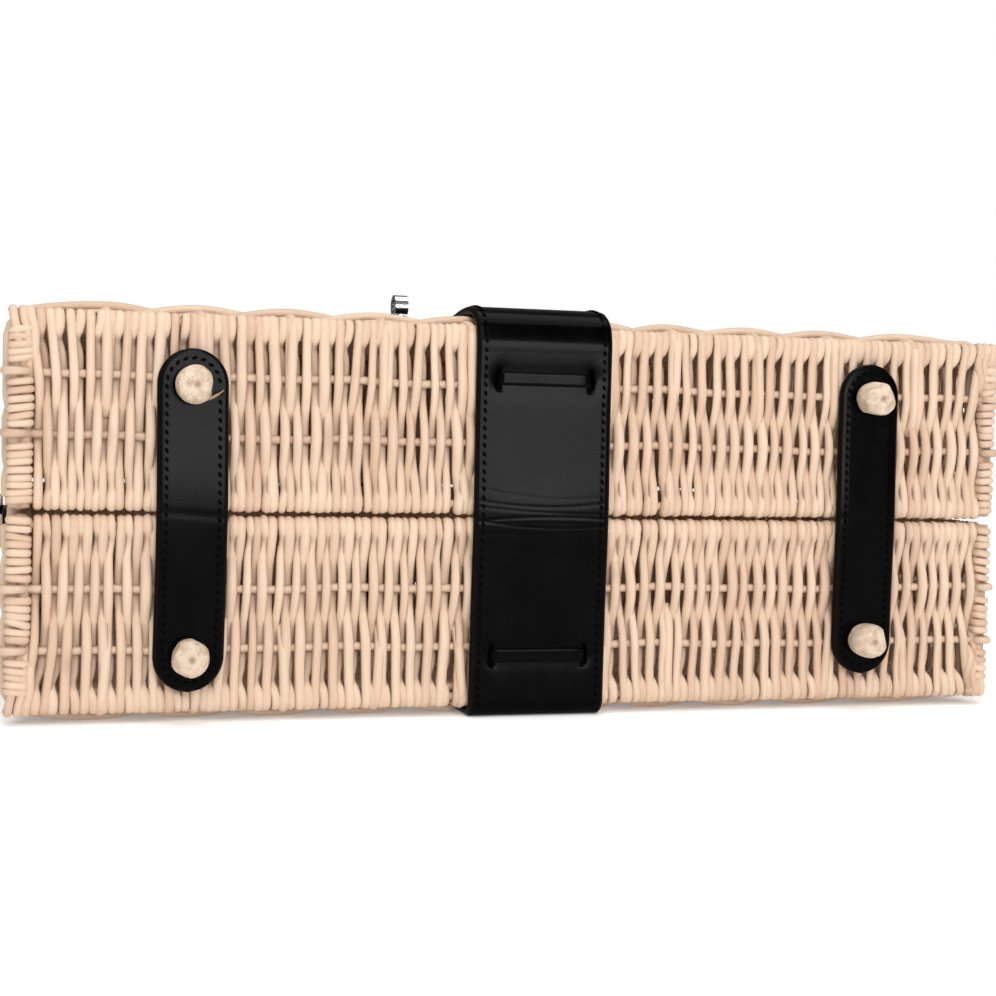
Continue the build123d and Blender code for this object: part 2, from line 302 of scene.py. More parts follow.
# %% Polished metal
def polished_metal():
    tree = Tree("polished_nickel")
    place = tree.node("ShaderNodeTexCoord", {}, out="Object")
    smear = tree.noise(place, 180.0, detail=4.0)
    lines = tree.noise(tree.stretch(place, 900.0, 4000.0, 900.0), 1.0)
    body = tree.mix(smear, (0.60, 0.585, 0.58, 1), (0.72, 0.70, 0.69, 1))
    return tree.set(
        Base_Color=body,
        Metallic=1.0,
        Roughness=0.10 + smear * 0.12,
        Normal=tree.bump(lines, 0.00002, 0.3),
    )


METAL = polished_metal()

# %% [markdown]
# Everything soft or woven here is a mesh made from arrays: vertices, faces, and a few numbers
# on each vertex that the materials read. `piece` makes one, puts it on its body unless it is
# given `joins`, and hides the CAD nodes it stands for.

# %% Making one piece
def add_object(name, data):
    """A new object in the scene."""
    made = bpy.data.objects.new(name, data)
    bpy.context.scene.collection.objects.link(made)
    return made


def piece(name, parts, body, replaces=(), joins=None):
    """One object from (vertices, faces, attributes, material) parts, in millimetres."""
    vertices = np.concatenate([part[0] for part in parts])
    faces, material_of, start = [], [], 0
    for index, part in enumerate(parts):
        faces += [tuple(corner + start for corner in face) for face in part[1]]
        material_of += [index] * len(part[1])
        start += len(part[0])
    mesh = bpy.data.meshes.new(name)
    mesh.from_pydata((vertices * MM).tolist(), [], faces)
    for key, kind, field in (("rod", "FLOAT", "value"), ("grain", "FLOAT_VECTOR", "vector"),
                             ("edge", "FLOAT", "value"), ("disc", "FLOAT", "value")):
        if any(key in part[2] for part in parts):
            width = 3 if kind == "FLOAT_VECTOR" else 1
            values = [
                np.asarray(part[2].get(key, np.zeros((len(part[0]), width)))).reshape(-1, width)
                for part in parts
            ]
            layer = mesh.attributes.new(key, kind, "POINT")
            layer.data.foreach_set(field, np.concatenate(values).astype(np.float32).ravel())
    for part in parts:
        mesh.materials.append(part[3])
    mesh.polygons.foreach_set("material_index", material_of)
    mesh.polygons.foreach_set("use_smooth", [True] * len(faces))
    mesh.update()
    made = add_object(name, mesh)
    if joins:
        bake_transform(made)
    else:
        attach(made, body)
    if replaces:
        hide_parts(*replaces)
    triangles = sum(len(face) - 2 for face in faces)
    print(f"{name}: {len(parts)} parts, {triangles} triangles")


# %% [markdown]
# A rod is a tube swept along a path. All rods of a panel have the same number of points, so
# numpy can sweep them together. The section is an ellipse that is carried along the path
# without twisting, which keeps a rod smooth where it turns round a border stick.

# %% Sweeping rods
def unit(vectors):
    return vectors / np.maximum(np.linalg.norm(vectors, axis=-1, keepdims=True), 1e-9)


def rods(paths, wide, thick, up, material, rng, sides=6, closed=False, shades=None):
    """Tubes along paths (rods, points, 3). wide and thick are half sizes, up is thick's way."""
    paths = np.asarray(paths, float)
    count, points = paths.shape[:2]
    wide = np.broadcast_to(np.asarray(wide, float), (count, points))
    thick = np.broadcast_to(np.asarray(thick, float), (count, points))
    if closed:
        tangent = unit(np.roll(paths, -1, axis=1) - np.roll(paths, 1, axis=1))
    else:
        tangent = unit(np.gradient(paths, axis=1))
    normal = np.zeros_like(paths)
    carried = np.broadcast_to(np.asarray(up, float), (count, 3)).copy()
    for i in range(points):
        carried = unit(carried - (carried * tangent[:, i]).sum(-1, keepdims=True) * tangent[:, i])
        normal[:, i] = carried
    across = np.cross(tangent, normal)
    angles = np.arange(sides) * 2 * np.pi / sides
    ring = (
        across[:, :, None] * (wide[:, :, None] * np.cos(angles))[..., None]
        + normal[:, :, None] * (thick[:, :, None] * np.sin(angles))[..., None]
    )
    vertices = (paths[:, :, None] + ring).reshape(-1, 3)
    steps = np.linalg.norm(np.diff(paths, axis=1), axis=-1)
    along = np.concatenate([np.zeros((count, 1)), np.cumsum(steps, axis=1)], axis=1)
    shade = rng.random(count) if shades is None else np.asarray(shades, float)
    offset = rng.random(count) * 400
    grain = np.zeros((count, points, sides, 3))
    grain[..., 0] = along[:, :, None] + offset[:, None, None]
    grain[..., 1] = angles * np.maximum(wide, thick)[:, :, None]
    grain[..., 2] = shade[:, None, None] * 60
    rod_value = np.broadcast_to(shade[:, None, None], (count, points, sides))
    spans = points if closed else points - 1
    i, j = np.meshgrid(np.arange(spans), np.arange(sides), indexing="ij")
    here, there = i * sides, ((i + 1) % points) * sides
    turn = (j + 1) % sides
    quad = np.stack([here + j, here + turn, there + turn, there + j], -1).reshape(-1, 4)
    starts = np.arange(count) * points * sides
    faces = (starts[:, None, None] + quad[None]).reshape(-1, 4).tolist()
    if not closed:
        first = np.arange(sides)[::-1]
        last = (points - 1) * sides + np.arange(sides)
        for start in starts:
            faces.append((start + first).tolist())
            faces.append((start + last).tolist())
    attributes = {"rod": rod_value.reshape(-1), "grain": grain.reshape(-1, 3)}
    return vertices, faces, attributes, material


def smooth_line(points, count):
    """A smooth curve of count points through a few given ones (Catmull-Rom)."""
    points = np.asarray(points, float)
    padded = np.vstack([2 * points[0] - points[1], points, 2 * points[-1] - points[-2]])
    t = np.linspace(0, len(points) - 1 - 1e-6, count)
    k = t.astype(int)
    f = (t - k)[:, None]
    a, b, c, d = padded[k], padded[k + 1], padded[k + 2], padded[k + 3]
    return 0.5 * (2 * b + (c - a) * f + (2 * a - 5 * b + 4 * c - d) * f**2
                  + (3 * b - a - 3 * c + d) * f**3)


# %% [markdown]
# The base and the top of each half are woven the same way. Three-millimetre rods run from the
# outer edge to the seam and pass over and under two ribs. At both edges every rod turns round
# a border stick, so the edge shows a row of rounded knuckles: tall where the rod runs on over
# the first rib, short where it dives under it. `out` is measured from the panel's outside.

# %% One woven rod, seen from the side
ROD_THICK = 1.1
ROD_WIDE = 1.6
RIB_RADIUS = 1.35
LIFT = RIB_RADIUS + ROD_THICK
PANEL_MID = -(LIFT + ROD_THICK)
RIBS_FROM_SEAM = (24.0, 43.5)
ROD_POINTS = 50
SQUARENESS = 0.62


def square_turn(first, last):
    """A turn round a border stick, a little squarer than a circle."""
    angles = np.radians(np.linspace(first, last, 13))
    cos, sin = np.cos(angles), np.sin(angles)
    across = LIFT * np.sign(cos) * np.abs(cos) ** SQUARENESS
    return list(zip(across, LIFT * np.sign(sin) * np.abs(sin) ** SQUARENESS))


def rod_profile(depth, over_first):
    """(distance from the outer edge, out) points of a rod, over or under the first rib."""
    edge_at = LIFT + ROD_THICK
    seam_at = depth - edge_at
    outer_rib = depth - RIBS_FROM_SEAM[1]
    inner_rib = depth - RIBS_FROM_SEAM[0]
    if over_first:
        stations = [(edge_at, 1), (outer_rib, 1), (inner_rib, -1), (seam_at - 1, 1), (seam_at, 1)]
    else:
        stations = [(edge_at, 1), (edge_at + 2.5, 0.95), (edge_at + 7.5, -0.8), (outer_rib, -1),
                    (inner_rib, 1), (seam_at - 5.5, -0.15), (seam_at - 0.5, 1), (seam_at, 1)]
    line = [(edge_at + dx, out) for dx, out in square_turn(245, 90)[:-1]]
    for (s0, o0), (s1, o1) in zip(stations, stations[1:]):
        for f in np.linspace(0, 1, 12, endpoint=False):
            dip = 0.3 * math.sin(math.pi * f) if o0 == o1 and s1 - s0 > 5 else 0.0
            ease = (1 - math.cos(math.pi * f)) / 2
            line.append((s0 + (s1 - s0) * f, LIFT * (o0 + (o1 - o0) * ease - dip)))
    line += [(seam_at + dx, out) for dx, out in square_turn(90, -65)]
    line = np.array(line)
    steps = np.linalg.norm(np.diff(line, axis=0), axis=1)
    run = np.concatenate([[0], np.cumsum(steps)])
    even = np.linspace(0, run[-1], ROD_POINTS)
    return np.stack([np.interp(even, run, line[:, 0]),
                     np.interp(even, run, line[:, 1]) + PANEL_MID], -1)


print("points along one rod:", len(rod_profile(64, True)))

# %% [markdown]
# Real rods are never quite straight: they lean in small groups, one is fatter than the next,
# and here and there two spread apart and leave a dark slit. A few slow sine waves along the
# panel give the leaning, and seeded random numbers give the rest. The bound border at the left
# end is wider than the one at the right, and each rib's end hooks over it.

# %% The woven panels of the base and top
ROD_PITCH = 2.66
STAKES_X = (-145, -115, -85.5, -55, -25, 0, 24.5, 49, 79.5, 109, 141)
END_BORDER = {-1: 7.4, 1: 5.4}
RIB_HOOK = np.array([(1.5, 1.6), (4.5, 3.2), (7.4, 3.0), (8.7, 1.0), (8.6, -2.4)])
CORNER_ZONE = 22.0
CORNER_SPREAD = 3.2


def panel(rng, plane_y, out_y, face_z, inward, stop_x, closeness):
    """The rods and ribs of one base or top panel."""
    depth = abs(SEAM_Z - face_z) - RIM_GAP
    first_x, last_x = -stop_x + END_BORDER[-1], stop_x - END_BORDER[1]
    count = int((last_x - first_x) / ROD_PITCH * closeness)
    xs = np.linspace(first_x + ROD_WIDE, last_x - ROD_WIDE, count)
    over = rod_profile(depth, True)
    under = rod_profile(depth, False)
    shape = np.where((np.arange(count) % 2 == 0)[:, None, None], over[None], under[None])
    along = shape[:, :, 0] / depth
    belly = np.sin(np.pi * np.clip(along, 0, 1))
    lean = 1.1 * np.sin(xs / 9.0 + 1.3 * np.sin(xs / 31.0)) + 0.5 * np.sin(xs / 4.1 + 2.0)
    swing = np.sin(2 * np.pi * along + (xs / 23.0)[:, None])
    own = rng.normal(0, 0.34, (count, 1)) * belly + rng.normal(0, 0.24, (count, 1)) * swing
    slope = (rng.normal(0, 0.6, (count, 1)) + 0.95 * lean[:, None]) * (along - 0.5)
    hooked = (np.arange(count) % 2 == 1)[:, None]
    hook_x = hooked * np.exp(-(((shape[:, :, 0] - 9.5) / 3.5) ** 2))
    lump_x = hooked * np.exp(-(((depth - shape[:, :, 0] - 8.0) / 3.0) ** 2))
    strength = rng.uniform(0.4, 1.3, (count, 1))
    x = xs[:, None] + own + slope + 0.35 * lean[:, None] * belly
    x = x - strength * hook_x * 1.1 + strength * lump_x * 0.8
    corner = np.clip((np.abs(xs) - stop_x + 28) / CORNER_ZONE, 0, 1)[:, None] ** 1.5
    spread = CORNER_SPREAD * np.clip(1 - along * 2.6, 0, 1) ** 1.3
    x = x + np.sign(xs)[:, None] * corner * spread
    proud = rng.normal(0, 0.12, (count, 1))
    out = shape[:, :, 1] + proud * belly - 0.12
    y = plane_y + out_y * out
    z = face_z + inward * shape[:, :, 0]
    paths = np.stack([x, y, z], -1)
    fatness = np.clip(rng.normal(1.01, 0.09, (count, 1)), 0.85, 1.2)
    level = (out - PANEL_MID) / LIFT
    wide = closeness * fatness * (1.50 + 0.17 * np.clip(level, -1.0, 1.0) ** 2)
    thick = fatness * ROD_THICK * (0.94 + 0.06 * level)
    woven = rods(paths, wide, thick, (0, out_y, 0), WILLOW, rng, sides=8)

    rib_x = np.linspace(first_x - 1.0, last_x + 1.0, 90)
    rib_paths = []
    for offset in RIBS_FROM_SEAM:
        z_rib = SEAM_Z - inward * (offset + RIM_GAP)
        wave = 0.35 * np.sin(rib_x / 17.0 + offset) + 0.25 * np.sin(rib_x / 6.0)
        middle = np.stack([rib_x, rib_x * 0 + PANEL_MID, z_rib + wave], -1)
        ends = []
        for side in (-1, 1):
            border = END_BORDER[side]
            reach = stop_x - border + RIB_HOOK[:, 0] * border / END_BORDER[-1]
            ends.append(np.stack([side * reach, PANEL_MID + RIB_HOOK[:, 1],
                                  np.full(len(RIB_HOOK), z_rib) + 0.3], -1))
        line = np.vstack([ends[0][::-1], middle, ends[1]])
        line[:, 1] = plane_y + out_y * line[:, 1]
        rib_paths.append(line)
    for stick in (LIFT + ROD_THICK, depth - LIFT - ROD_THICK):
        z_stick = face_z + inward * stick
        line_x = np.linspace(-stop_x + 3, stop_x - 3, len(rib_paths[0]))
        rib_paths.append(np.stack([line_x, line_x * 0 + plane_y + out_y * PANEL_MID,
                                   line_x * 0 + z_stick], -1))
    ribs = rods(rib_paths, RIB_RADIUS, RIB_RADIUS * 0.95, (0, out_y, 0), RIB, rng, sides=8)
    return [woven, ribs]


# %% [markdown]
# Each end of the base and top is bound: two sticks side by side, wrapped by a flat rod. The
# wraps are separate flattened loops, and each is tipped a little, as a hand-wound binding is.
# At the outer corner three rods fan out over the binding.

# %% The bound ends
FAN_RODS = ((1.2, 3.5, 21.0), (4.2, 1.4, 24.0), (6.6, -0.6, 19.0))


def bound_end(rng, side, plane_y, out_y, face_z, inward, stop_x, pitch):
    """Wrapped loops round the end border of one panel."""
    depth = abs(SEAM_Z - face_z) - RIM_GAP
    border = END_BORDER[side]
    middle_x = stop_x - border / 2 - 0.1
    steps = pitch * rng.uniform(0.85, 1.2, int(depth / pitch * 1.5))
    stations = 2.2 + np.cumsum(steps)
    stations = stations[stations < depth - 1.8]
    for offset in RIBS_FROM_SEAM:
        stations = stations[np.abs(stations - (depth - offset)) > 2.3]
    stations = stations[stations > 7.0]
    count = len(stations)
    wrap_half = pitch * 0.53
    turn = np.arange(22) * 2 * np.pi / 22
    reach_x = border / 2 - 0.6 + rng.normal(0, 0.15, (count, 1))
    reach_y = 2.8 + rng.normal(0, 0.12, (count, 1))
    cos, sin = np.cos(turn)[None], np.sin(turn)[None]
    x = side * middle_x + reach_x * np.sign(cos) * np.abs(cos) ** SQUARENESS
    out = PANEL_MID + 0.1 + reach_y * np.sign(sin) * np.abs(sin) ** SQUARENESS
    tip = rng.normal(-0.12, 0.07, (count, 1))
    z = face_z + inward * (stations[:, None] + tip * (x - side * middle_x))
    y = plane_y + out_y * out
    paths = np.stack([x, y, z], -1)
    flat = wrap_half * rng.uniform(0.9, 1.06, (count, 1))
    loops = rods(paths, flat, 1.15, (side, 0, 0), WILLOW, rng, sides=8, closed=True)
    sticks = []
    for shift in (-0.2 * border, 0.2 * border):
        line_z = face_z + inward * np.linspace(1.5, depth - 1.0, 12)
        sticks.append(np.stack([line_z * 0 + side * middle_x + shift,
                                line_z * 0 + plane_y + out_y * PANEL_MID, line_z], -1))
    cores = rods(sticks, 0.22 * border, 1.9, (side, 0, 0), RIB, rng, sides=8)
    fans = []
    inner = stop_x - border
    for start, end, far in FAN_RODS:
        line = [(stop_x - start, -6.0, 1.2), (stop_x - start, -2.6, 0.9),
                (stop_x - start - 0.3, -1.2, 3.6), (stop_x - start - 1.3, -1.0, 8.0),
                (inner + end, -1.7, 15.0), (inner + end - 1.2, -4.4, far)]
        fans.append(smooth_line([(side * x, plane_y + out_y * o, face_z + inward * d)
                                 for x, o, d in line], 26))
    fan_rods = rods(fans, 1.45, 1.15, (0, out_y, 0), WILLOW, rng, sides=8)
    return [loops, cores, fan_rods]


# %% [markdown]
# The big faces and the end walls are one wall: weavers go from the rim of one end wall, round
# the corner, across the face and back to the other rim. They pass in front of and behind
# upright stakes, and each row does the opposite of the row below it. The wall's outline is
# worked out once, as a distance `u` along it, with rounded corners.

# %% The wall that goes round each half
WALL_MID = 3.9
CORNER = 6.0
WEAVER = 1.36
STAKE_RADIUS = 1.7
WEAVE_SWING = STAKE_RADIUS + WEAVER - 0.25
ROW_PITCH = 2.5
EDGE_ROWS = (5.9, 8.4, 11.0)


def wall_line(y, face_z, inward, count):
    """Middle-line points of the wall at height y, their outward directions and distances."""
    half = half_length(y) - WALL_MID
    flat_z = face_z + inward * WALL_MID
    rim_z = SEAM_Z - inward * (RIM_GAP + WEAVER + WEAVE_SWING)
    side = abs(rim_z - flat_z) - CORNER
    arc = CORNER * math.pi / 2
    front = 2 * (half - CORNER)
    lengths = np.array([side, arc, front, arc, side])
    ends = np.concatenate([[0], np.cumsum(lengths)])
    u = np.linspace(0, ends[-1], count)
    place = np.zeros((count, 3))
    out = np.zeros((count, 3))
    place[:, 1] = y
    for i, distance in enumerate(u):
        end = -1 if distance < ends[-1] / 2 else 1
        from_rim = min(distance, ends[-1] - distance)
        if from_rim < ends[1]:
            place[i, 0], place[i, 2] = end * half, rim_z - inward * from_rim
            out[i] = (end, 0, 0)
        elif from_rim < ends[2]:
            a = (from_rim - ends[1]) / CORNER
            out[i] = (end * math.cos(a), 0, -inward * math.sin(a))
            place[i, 0] = end * (half - CORNER) + CORNER * out[i, 0]
            place[i, 2] = flat_z + inward * CORNER + CORNER * out[i, 2]
        else:
            place[i, 0], place[i, 2] = -half + CORNER + distance - ends[2], flat_z
            out[i] = (0, 0, -inward)
    return place, out, u, ends


def stake_distances(y, face_z, inward):
    """Where the stakes stand, as distances along the wall's middle line."""
    ends = wall_line(y, face_z, inward, 2)[3]
    squeeze = (half_length(y) - WALL_MID) / (HALF_BASE - WALL_MID)
    middle = ends[-1] / 2
    on_face = middle + np.array(STAKES_X) * squeeze
    side = ends[1]
    return np.concatenate([[0, side * 0.36, side * 0.76], on_face,
                           ends[-1] - np.array([side * 0.76, side * 0.36, 0])])


def wall(rng, face_z, inward):
    """Weavers and stakes of one half's face and end walls."""
    first_y = BASE_Y + COURSE_INSET + 2.8
    last_y = TOP_Y - COURSE_INSET - 2.8
    rows = np.linspace(first_y, last_y, int((last_y - first_y) / ROW_PITCH))
    low_rows = [BASE_Y + inset for inset in EDGE_ROWS]
    high_rows = [TOP_Y - inset for inset in reversed(EDGE_ROWS)]
    rows = np.concatenate([low_rows, rows, high_rows])
    past = np.array([0, 0, inward])
    points = 86
    turn = np.radians(np.array([0, 40, 80, 120, 160]))
    paths = np.zeros((len(rows), points + 2 * len(turn), 3))
    for k, y in enumerate(rows):
        place, out, u, _ = wall_line(y, face_z, inward, points)
        stakes = stake_distances(y, face_z, inward)
        step = np.interp(u, stakes, np.arange(len(stakes)))
        sign = 1 if k % 2 == 0 else -1
        swing = sign * WEAVE_SWING * np.cos(np.pi * step)
        last = len(stakes) - 1
        swing = np.where(step < 1, WEAVE_SWING * (1 - step) + step * swing, swing)
        swing = np.where(step > last - 1,
                         WEAVE_SWING * (step - last + 1) + (last - step) * swing, swing)
        swing = np.clip(swing, -WEAVE_SWING, WEAVE_SWING)
        drift = 0.22 * np.sin(u / 29.0 + k * 0.7) + 0.15 * np.sin(u / 11.0 + k * 2.1)
        line = place + out * swing[:, None]
        line[:, 1] += drift + rng.normal(0, 0.12)
        hooks = []
        for centre, way in ((place[0], out[0]), (place[-1], out[-1])):
            hooks.append(centre + WEAVE_SWING * (np.cos(turn)[:, None] * way
                                                 + np.sin(turn)[:, None] * past))
        paths[k] = np.vstack([hooks[0][::-1], line, hooks[1]])
    fat = np.clip(rng.normal(1.0, 0.06, (len(rows), 1)), 0.86, 1.12)
    weavers = rods(paths, WEAVER * fat * 1.04, WEAVER * fat * 0.95, (0, 1, 0), WILLOW, rng)

    levels = []
    for y in np.linspace(BASE_Y + 4.5, TOP_Y - 4.5, 30):
        place, _, u, _ = wall_line(y, face_z, inward, 160)
        distances = stake_distances(y, face_z, inward)
        levels.append(np.stack([np.interp(distances, u, place[:, axis]) for axis in range(3)], -1))
    stake_paths = np.stack(levels, axis=1)
    stakes = rods(stake_paths, STAKE_RADIUS, STAKE_RADIUS, (0, 0, 1), RIB, rng)
    return [weavers, stakes]


# %% [markdown]
# Just past the base and the top edge runs a pairing course: two rods twisted round the stakes.
# At each stake one of them shows as a crest, and between stakes they cross. The crests are
# the widest part of the bag, and it lies on them.

# %% The pairing courses
COURSE_ROD = 1.5
COURSE_SWING = 1.7


def pairing(rng, y, face_z, inward, skip_half):
    """Two twisted rods round the wall, left out where the leather band lies over them."""
    place, out, u, _ = wall_line(y, face_z, inward, 240)
    stakes = stake_distances(y, face_z, inward)
    step = np.interp(u, stakes, np.arange(len(stakes)))
    strands = []
    for sign in (1, -1):
        swing = WALL_MID - 0.35 + sign * COURSE_SWING * np.cos(np.pi * step)
        rise = np.where(np.abs(out[:, 0]) > 0.7, COURSE_END_RISE, COURSE_RISE)
        cap = WALL_MID + rise - COURSE_ROD
        swing = np.minimum(swing, cap)
        line = place + out * swing[:, None]
        line[:, 1] += sign * COURSE_ROD * np.sin(np.pi * step) + 0.3 * np.sin(u / 13.0)
        strands.append(line)
    middle = len(u) // 2
    reach = np.abs(place[:, 0])
    kept = [np.arange(len(u)) < middle, np.arange(len(u)) >= middle]
    parts = []
    for half in kept:
        chosen = half & ((reach > skip_half) | (np.abs(out[:, 0]) > 0.3))
        parts.append(rods([line[chosen] for line in strands], COURSE_ROD, COURSE_ROD,
                          (0, 1, 0), WILLOW, rng, shades=rng.uniform(0.1, 0.6, 2)))
    return parts


# %% [markdown]
# Every 30 mm or so a thicker rod shows: it is the stake itself, which comes over the
# outer edge from the base and goes on up the face under the pairing course. It is drawn as a
# separate rod that lies on the weave near the edge and bends round it.

# %% Stakes that come over the edge
def edge_stakes(rng, plane_y, out_y, face_z, inward, stop_x):
    """The thick rods that turn from the base or top panel on to the face."""
    depth = abs(SEAM_Z - face_z) - RIM_GAP
    squeeze = (stop_x - WALL_MID) / (HALF_BASE - WALL_MID)
    paths = []
    for stake_x in STAKES_X:
        x = stake_x * squeeze
        if abs(x) < BAND_HALF - 1:
            continue
        lean = rng.normal(0, 1.2)
        reach = depth - rng.choice([30.0, 36.0])
        corner = [(reach, -5.6), (reach - 5.0, -2.6), (reach - 10, -1.35), (12.0, -1.25),
                  (5.5, -1.05), (2.6, -2.0), (0.9, -4.6), (0.5, -8.0), (0.9, -12.5), (3.0, -17.0)]
        line = [(x + lean * s / 40 * (1 if s > 3 else 0), plane_y + out_y * o,
                 face_z + inward * s) for s, o in corner]
        paths.append(smooth_line(line, 40))
    return [rods(paths, 1.72, 1.5, (0, out_y, 0), WILLOW, rng, sides=8,
                 shades=rng.uniform(0.0, 0.6, len(paths)))]


band_low, band_high = box_mm("centre_band")
BAND_HALF = (band_high[0] - band_low[0]) / 2

for half_name, body, face_z, inward, wrap_pitches, seed in (
    ("back", "back_half", BACK_Z, 1, (2.5, 2.6), 11),
    ("front", "lid", FRONT_Z, -1, (2.4, 2.6), 23),
):
    rng = np.random.default_rng(seed)
    for level, plane_y, out_y, closeness in (("base", BASE_Y, -1, 1.0), ("top", TOP_Y, 1, 1.2)):
        stop_x = half_length(plane_y)
        parts = panel(rng, plane_y, out_y, face_z, inward, stop_x, closeness)
        parts += edge_stakes(rng, plane_y, out_y, face_z, inward, stop_x)
        for side, pitch in zip((-1, 1), wrap_pitches):
            parts += bound_end(rng, side, plane_y, out_y, face_z, inward, stop_x, pitch)
        piece(f"{half_name}_{level}_weave", parts, body)
    parts = wall(rng, face_z, inward)
    for course_y in (BASE_Y + COURSE_INSET, TOP_Y - COURSE_INSET):
        skip_half = BAND_HALF + 0.5 if half_name == "back" else 0.0
        parts += pairing(rng, course_y, face_z, inward, skip_half)
    piece(f"{half_name}_wall_weave", parts, body, (f"{half_name}_basket",))

# %% [markdown]
# A leather strap is a flat strip that follows a route. The route is a polyline with rounded
# corners; the strip's section has flat faces and rounded cut edges, and its half width can
# change along the route, which makes the round ends. The same map from (along, across) to a
# point on the surface places the stitches.

# %% Leather strips
class Strip:
    """A leather strip along a route in one plane, with a constant width direction."""

    def __init__(self, route, across, outward, thickness, half_width):
        self.route = np.asarray(route, float)
        steps = np.linalg.norm(np.diff(self.route, axis=0), axis=1)
        self.s = np.concatenate([[0], np.cumsum(steps)])
        self.across = np.asarray(across, float)
        self.tangent = unit(np.gradient(self.route, self.s, axis=0))
        self.normal = outward * unit(np.cross(self.tangent, self.across))
        self.half_thickness = thickness / 2
        self.half_width = half_width

    @property
    def length(self):
        return self.s[-1]

    def at(self, s, x, lift=0.0):
        """A point on the outer surface, with its along and outward directions."""
        middle = np.array([np.interp(s, self.s, self.route[:, i]) for i in range(3)])
        normal = np.array([np.interp(s, self.s, self.normal[:, i]) for i in range(3)])
        tangent = np.array([np.interp(s, self.s, self.tangent[:, i]) for i in range(3)])
        point = middle + self.across * x + normal * (self.half_thickness + lift)
        return point, unit(tangent), unit(normal)

    def mesh(self, material, stations, columns=9, shape=None, seed=0):
        """Vertices, faces and attributes. shape(s, x) is how far the surface moves outward."""
        half_t = self.half_thickness
        shares = np.linspace(-1, 1, columns) if isinstance(columns, int) else columns
        columns = len(shares)
        edge_angles = np.radians([65, 25, -25, -65])
        vertices, edges, grains = [], [], []
        for s in stations:
            w = max(self.half_width(s), 0.02)
            r = min(half_t, w)
            flat = w - r
            top = [(x, half_t, w - abs(x)) for x in flat * shares]
            right = [(flat + r * math.cos(a), half_t * math.sin(a), 0.0) for a in edge_angles]
            low = [(x, -half_t, w - abs(x)) for x in flat * shares[::-1]]
            left = [(-x, h, d) for x, h, d in right[::-1]]
            middle, _, normal = self.at(s, 0, -half_t)
            for x, h, d in top + right + low + left:
                move = shape(s, x) if shape else 0.0
                vertices.append(middle + self.across * x + normal * (h + move))
                edges.append(d)
                grains.append((s + seed * 37.0, x, h))
        ring = 2 * columns + 8
        faces = []
        for i in range(len(stations) - 1):
            for j in range(ring):
                k = (j + 1) % ring
                faces.append((i * ring + j, (i + 1) * ring + j, (i + 1) * ring + k, i * ring + k))
        last = (len(stations) - 1) * ring
        faces.append(tuple(range(ring)))
        faces.append(tuple(last + j for j in reversed(range(ring))))
        return np.array(vertices), faces, {"edge": edges, "grain": grains}, material


def rounded_route(points, radius, step=2.0):
    """A polyline with rounded corners, as closely spaced points."""
    points = [np.asarray(p, float) for p in points]
    line = [points[0]]
    for before, corner, after in zip(points, points[1:], points[2:]):
        a, b = unit(before - corner), unit(after - corner)
        cut = radius / math.tan(math.acos(np.clip(a @ b, -1, 1)) / 2)
        start, end = corner + a * cut, corner + b * cut
        centre = corner + unit(a + b) * math.hypot(radius, cut)
        for f in np.linspace(0, 1, 9):
            line.append(centre + radius * unit((1 - f) * unit(start - centre)
                                               + f * unit(end - centre)))
    line.append(points[-1])
    filled = [line[0]]
    for p, q in zip(line, line[1:]):
        count = max(1, int(np.linalg.norm(q - p) / step))
        filled += [p + (q - p) * k / count for k in range(1, count + 1)]
    return np.array(filled)


# %% [markdown]
# Saddle stitching leaves short slanted threads in a pressed line, three millimetres from the
# cut edge. Each stitch is a small flattened capsule sunk half into the leather.

# %% Stitches
STITCH_PITCH = 2.9
STITCH_HALF = 1.0
STITCH_SLANT = 0.42
THREAD_LIFT = 0.16


def stitches(strip, line, shape=None):
    """Stitches along a line of (s, x) points on a strip's outer surface."""
    line = np.asarray(line, float)
    steps = np.linalg.norm(np.diff(line, axis=0), axis=1)
    total = np.concatenate([[0], np.cumsum(steps)])
    places = np.arange(STITCH_PITCH / 2, total[-1], STITCH_PITCH)
    along = np.linspace(-1, 1, 6)
    fat = np.sqrt(np.clip(1 - along**2, 0, 1)) + 0.02
    paths, ups = [], []
    for d in places:
        s, x = np.interp(d, total, line[:, 0]), np.interp(d, total, line[:, 1])
        s2, x2 = np.interp(d + 0.2, total, line[:, 0]), np.interp(d + 0.2, total, line[:, 1])
        heading = unit(np.array([s2 - s, x2 - x]))
        heading = unit(heading + STITCH_SLANT * np.array([-heading[1], heading[0]]))
        lift = THREAD_LIFT + (shape(s, x) if shape else 0.0)
        point, tangent, normal = strip.at(s, x, lift)
        way = unit(heading[0] * tangent + heading[1] * strip.across)
        paths.append(point + way * along[:, None] * STITCH_HALF)
        ups.append(normal)
    rng = np.random.default_rng(len(places))
    return rods(paths, 0.52 * fat, 0.40 * fat, np.array(ups), THREAD, rng, sides=6)


def round_end_width(length, half, start_round=True, end_round=True):
    """A half width that closes in a half circle at either end of a strip."""

    def width(s):
        reach = half
        if start_round and s < half:
            reach = math.sqrt(max(half**2 - (half - s) ** 2, 0))
        if end_round and s > length - half:
            reach = min(reach, math.sqrt(max(half**2 - (s - length + half) ** 2, 0)))
        return reach

    return width


def even_stations(length, step, tight_start=False, tight_end=False):
    """Stations along a strip, closer together at its round ends."""
    close = np.array([0.05, 0.15, 0.35, 0.7, 1.1, 1.6, 2.4, 3.2])
    stations = list(np.arange(0, length, step)) + [length]
    if tight_start:
        stations += list(close)
    if tight_end:
        stations += list(length - close)
    return sorted(set(np.round(stations, 4)))


# %% [markdown]
# Two narrow straps cross the seam on the base and are the bag's hinges.

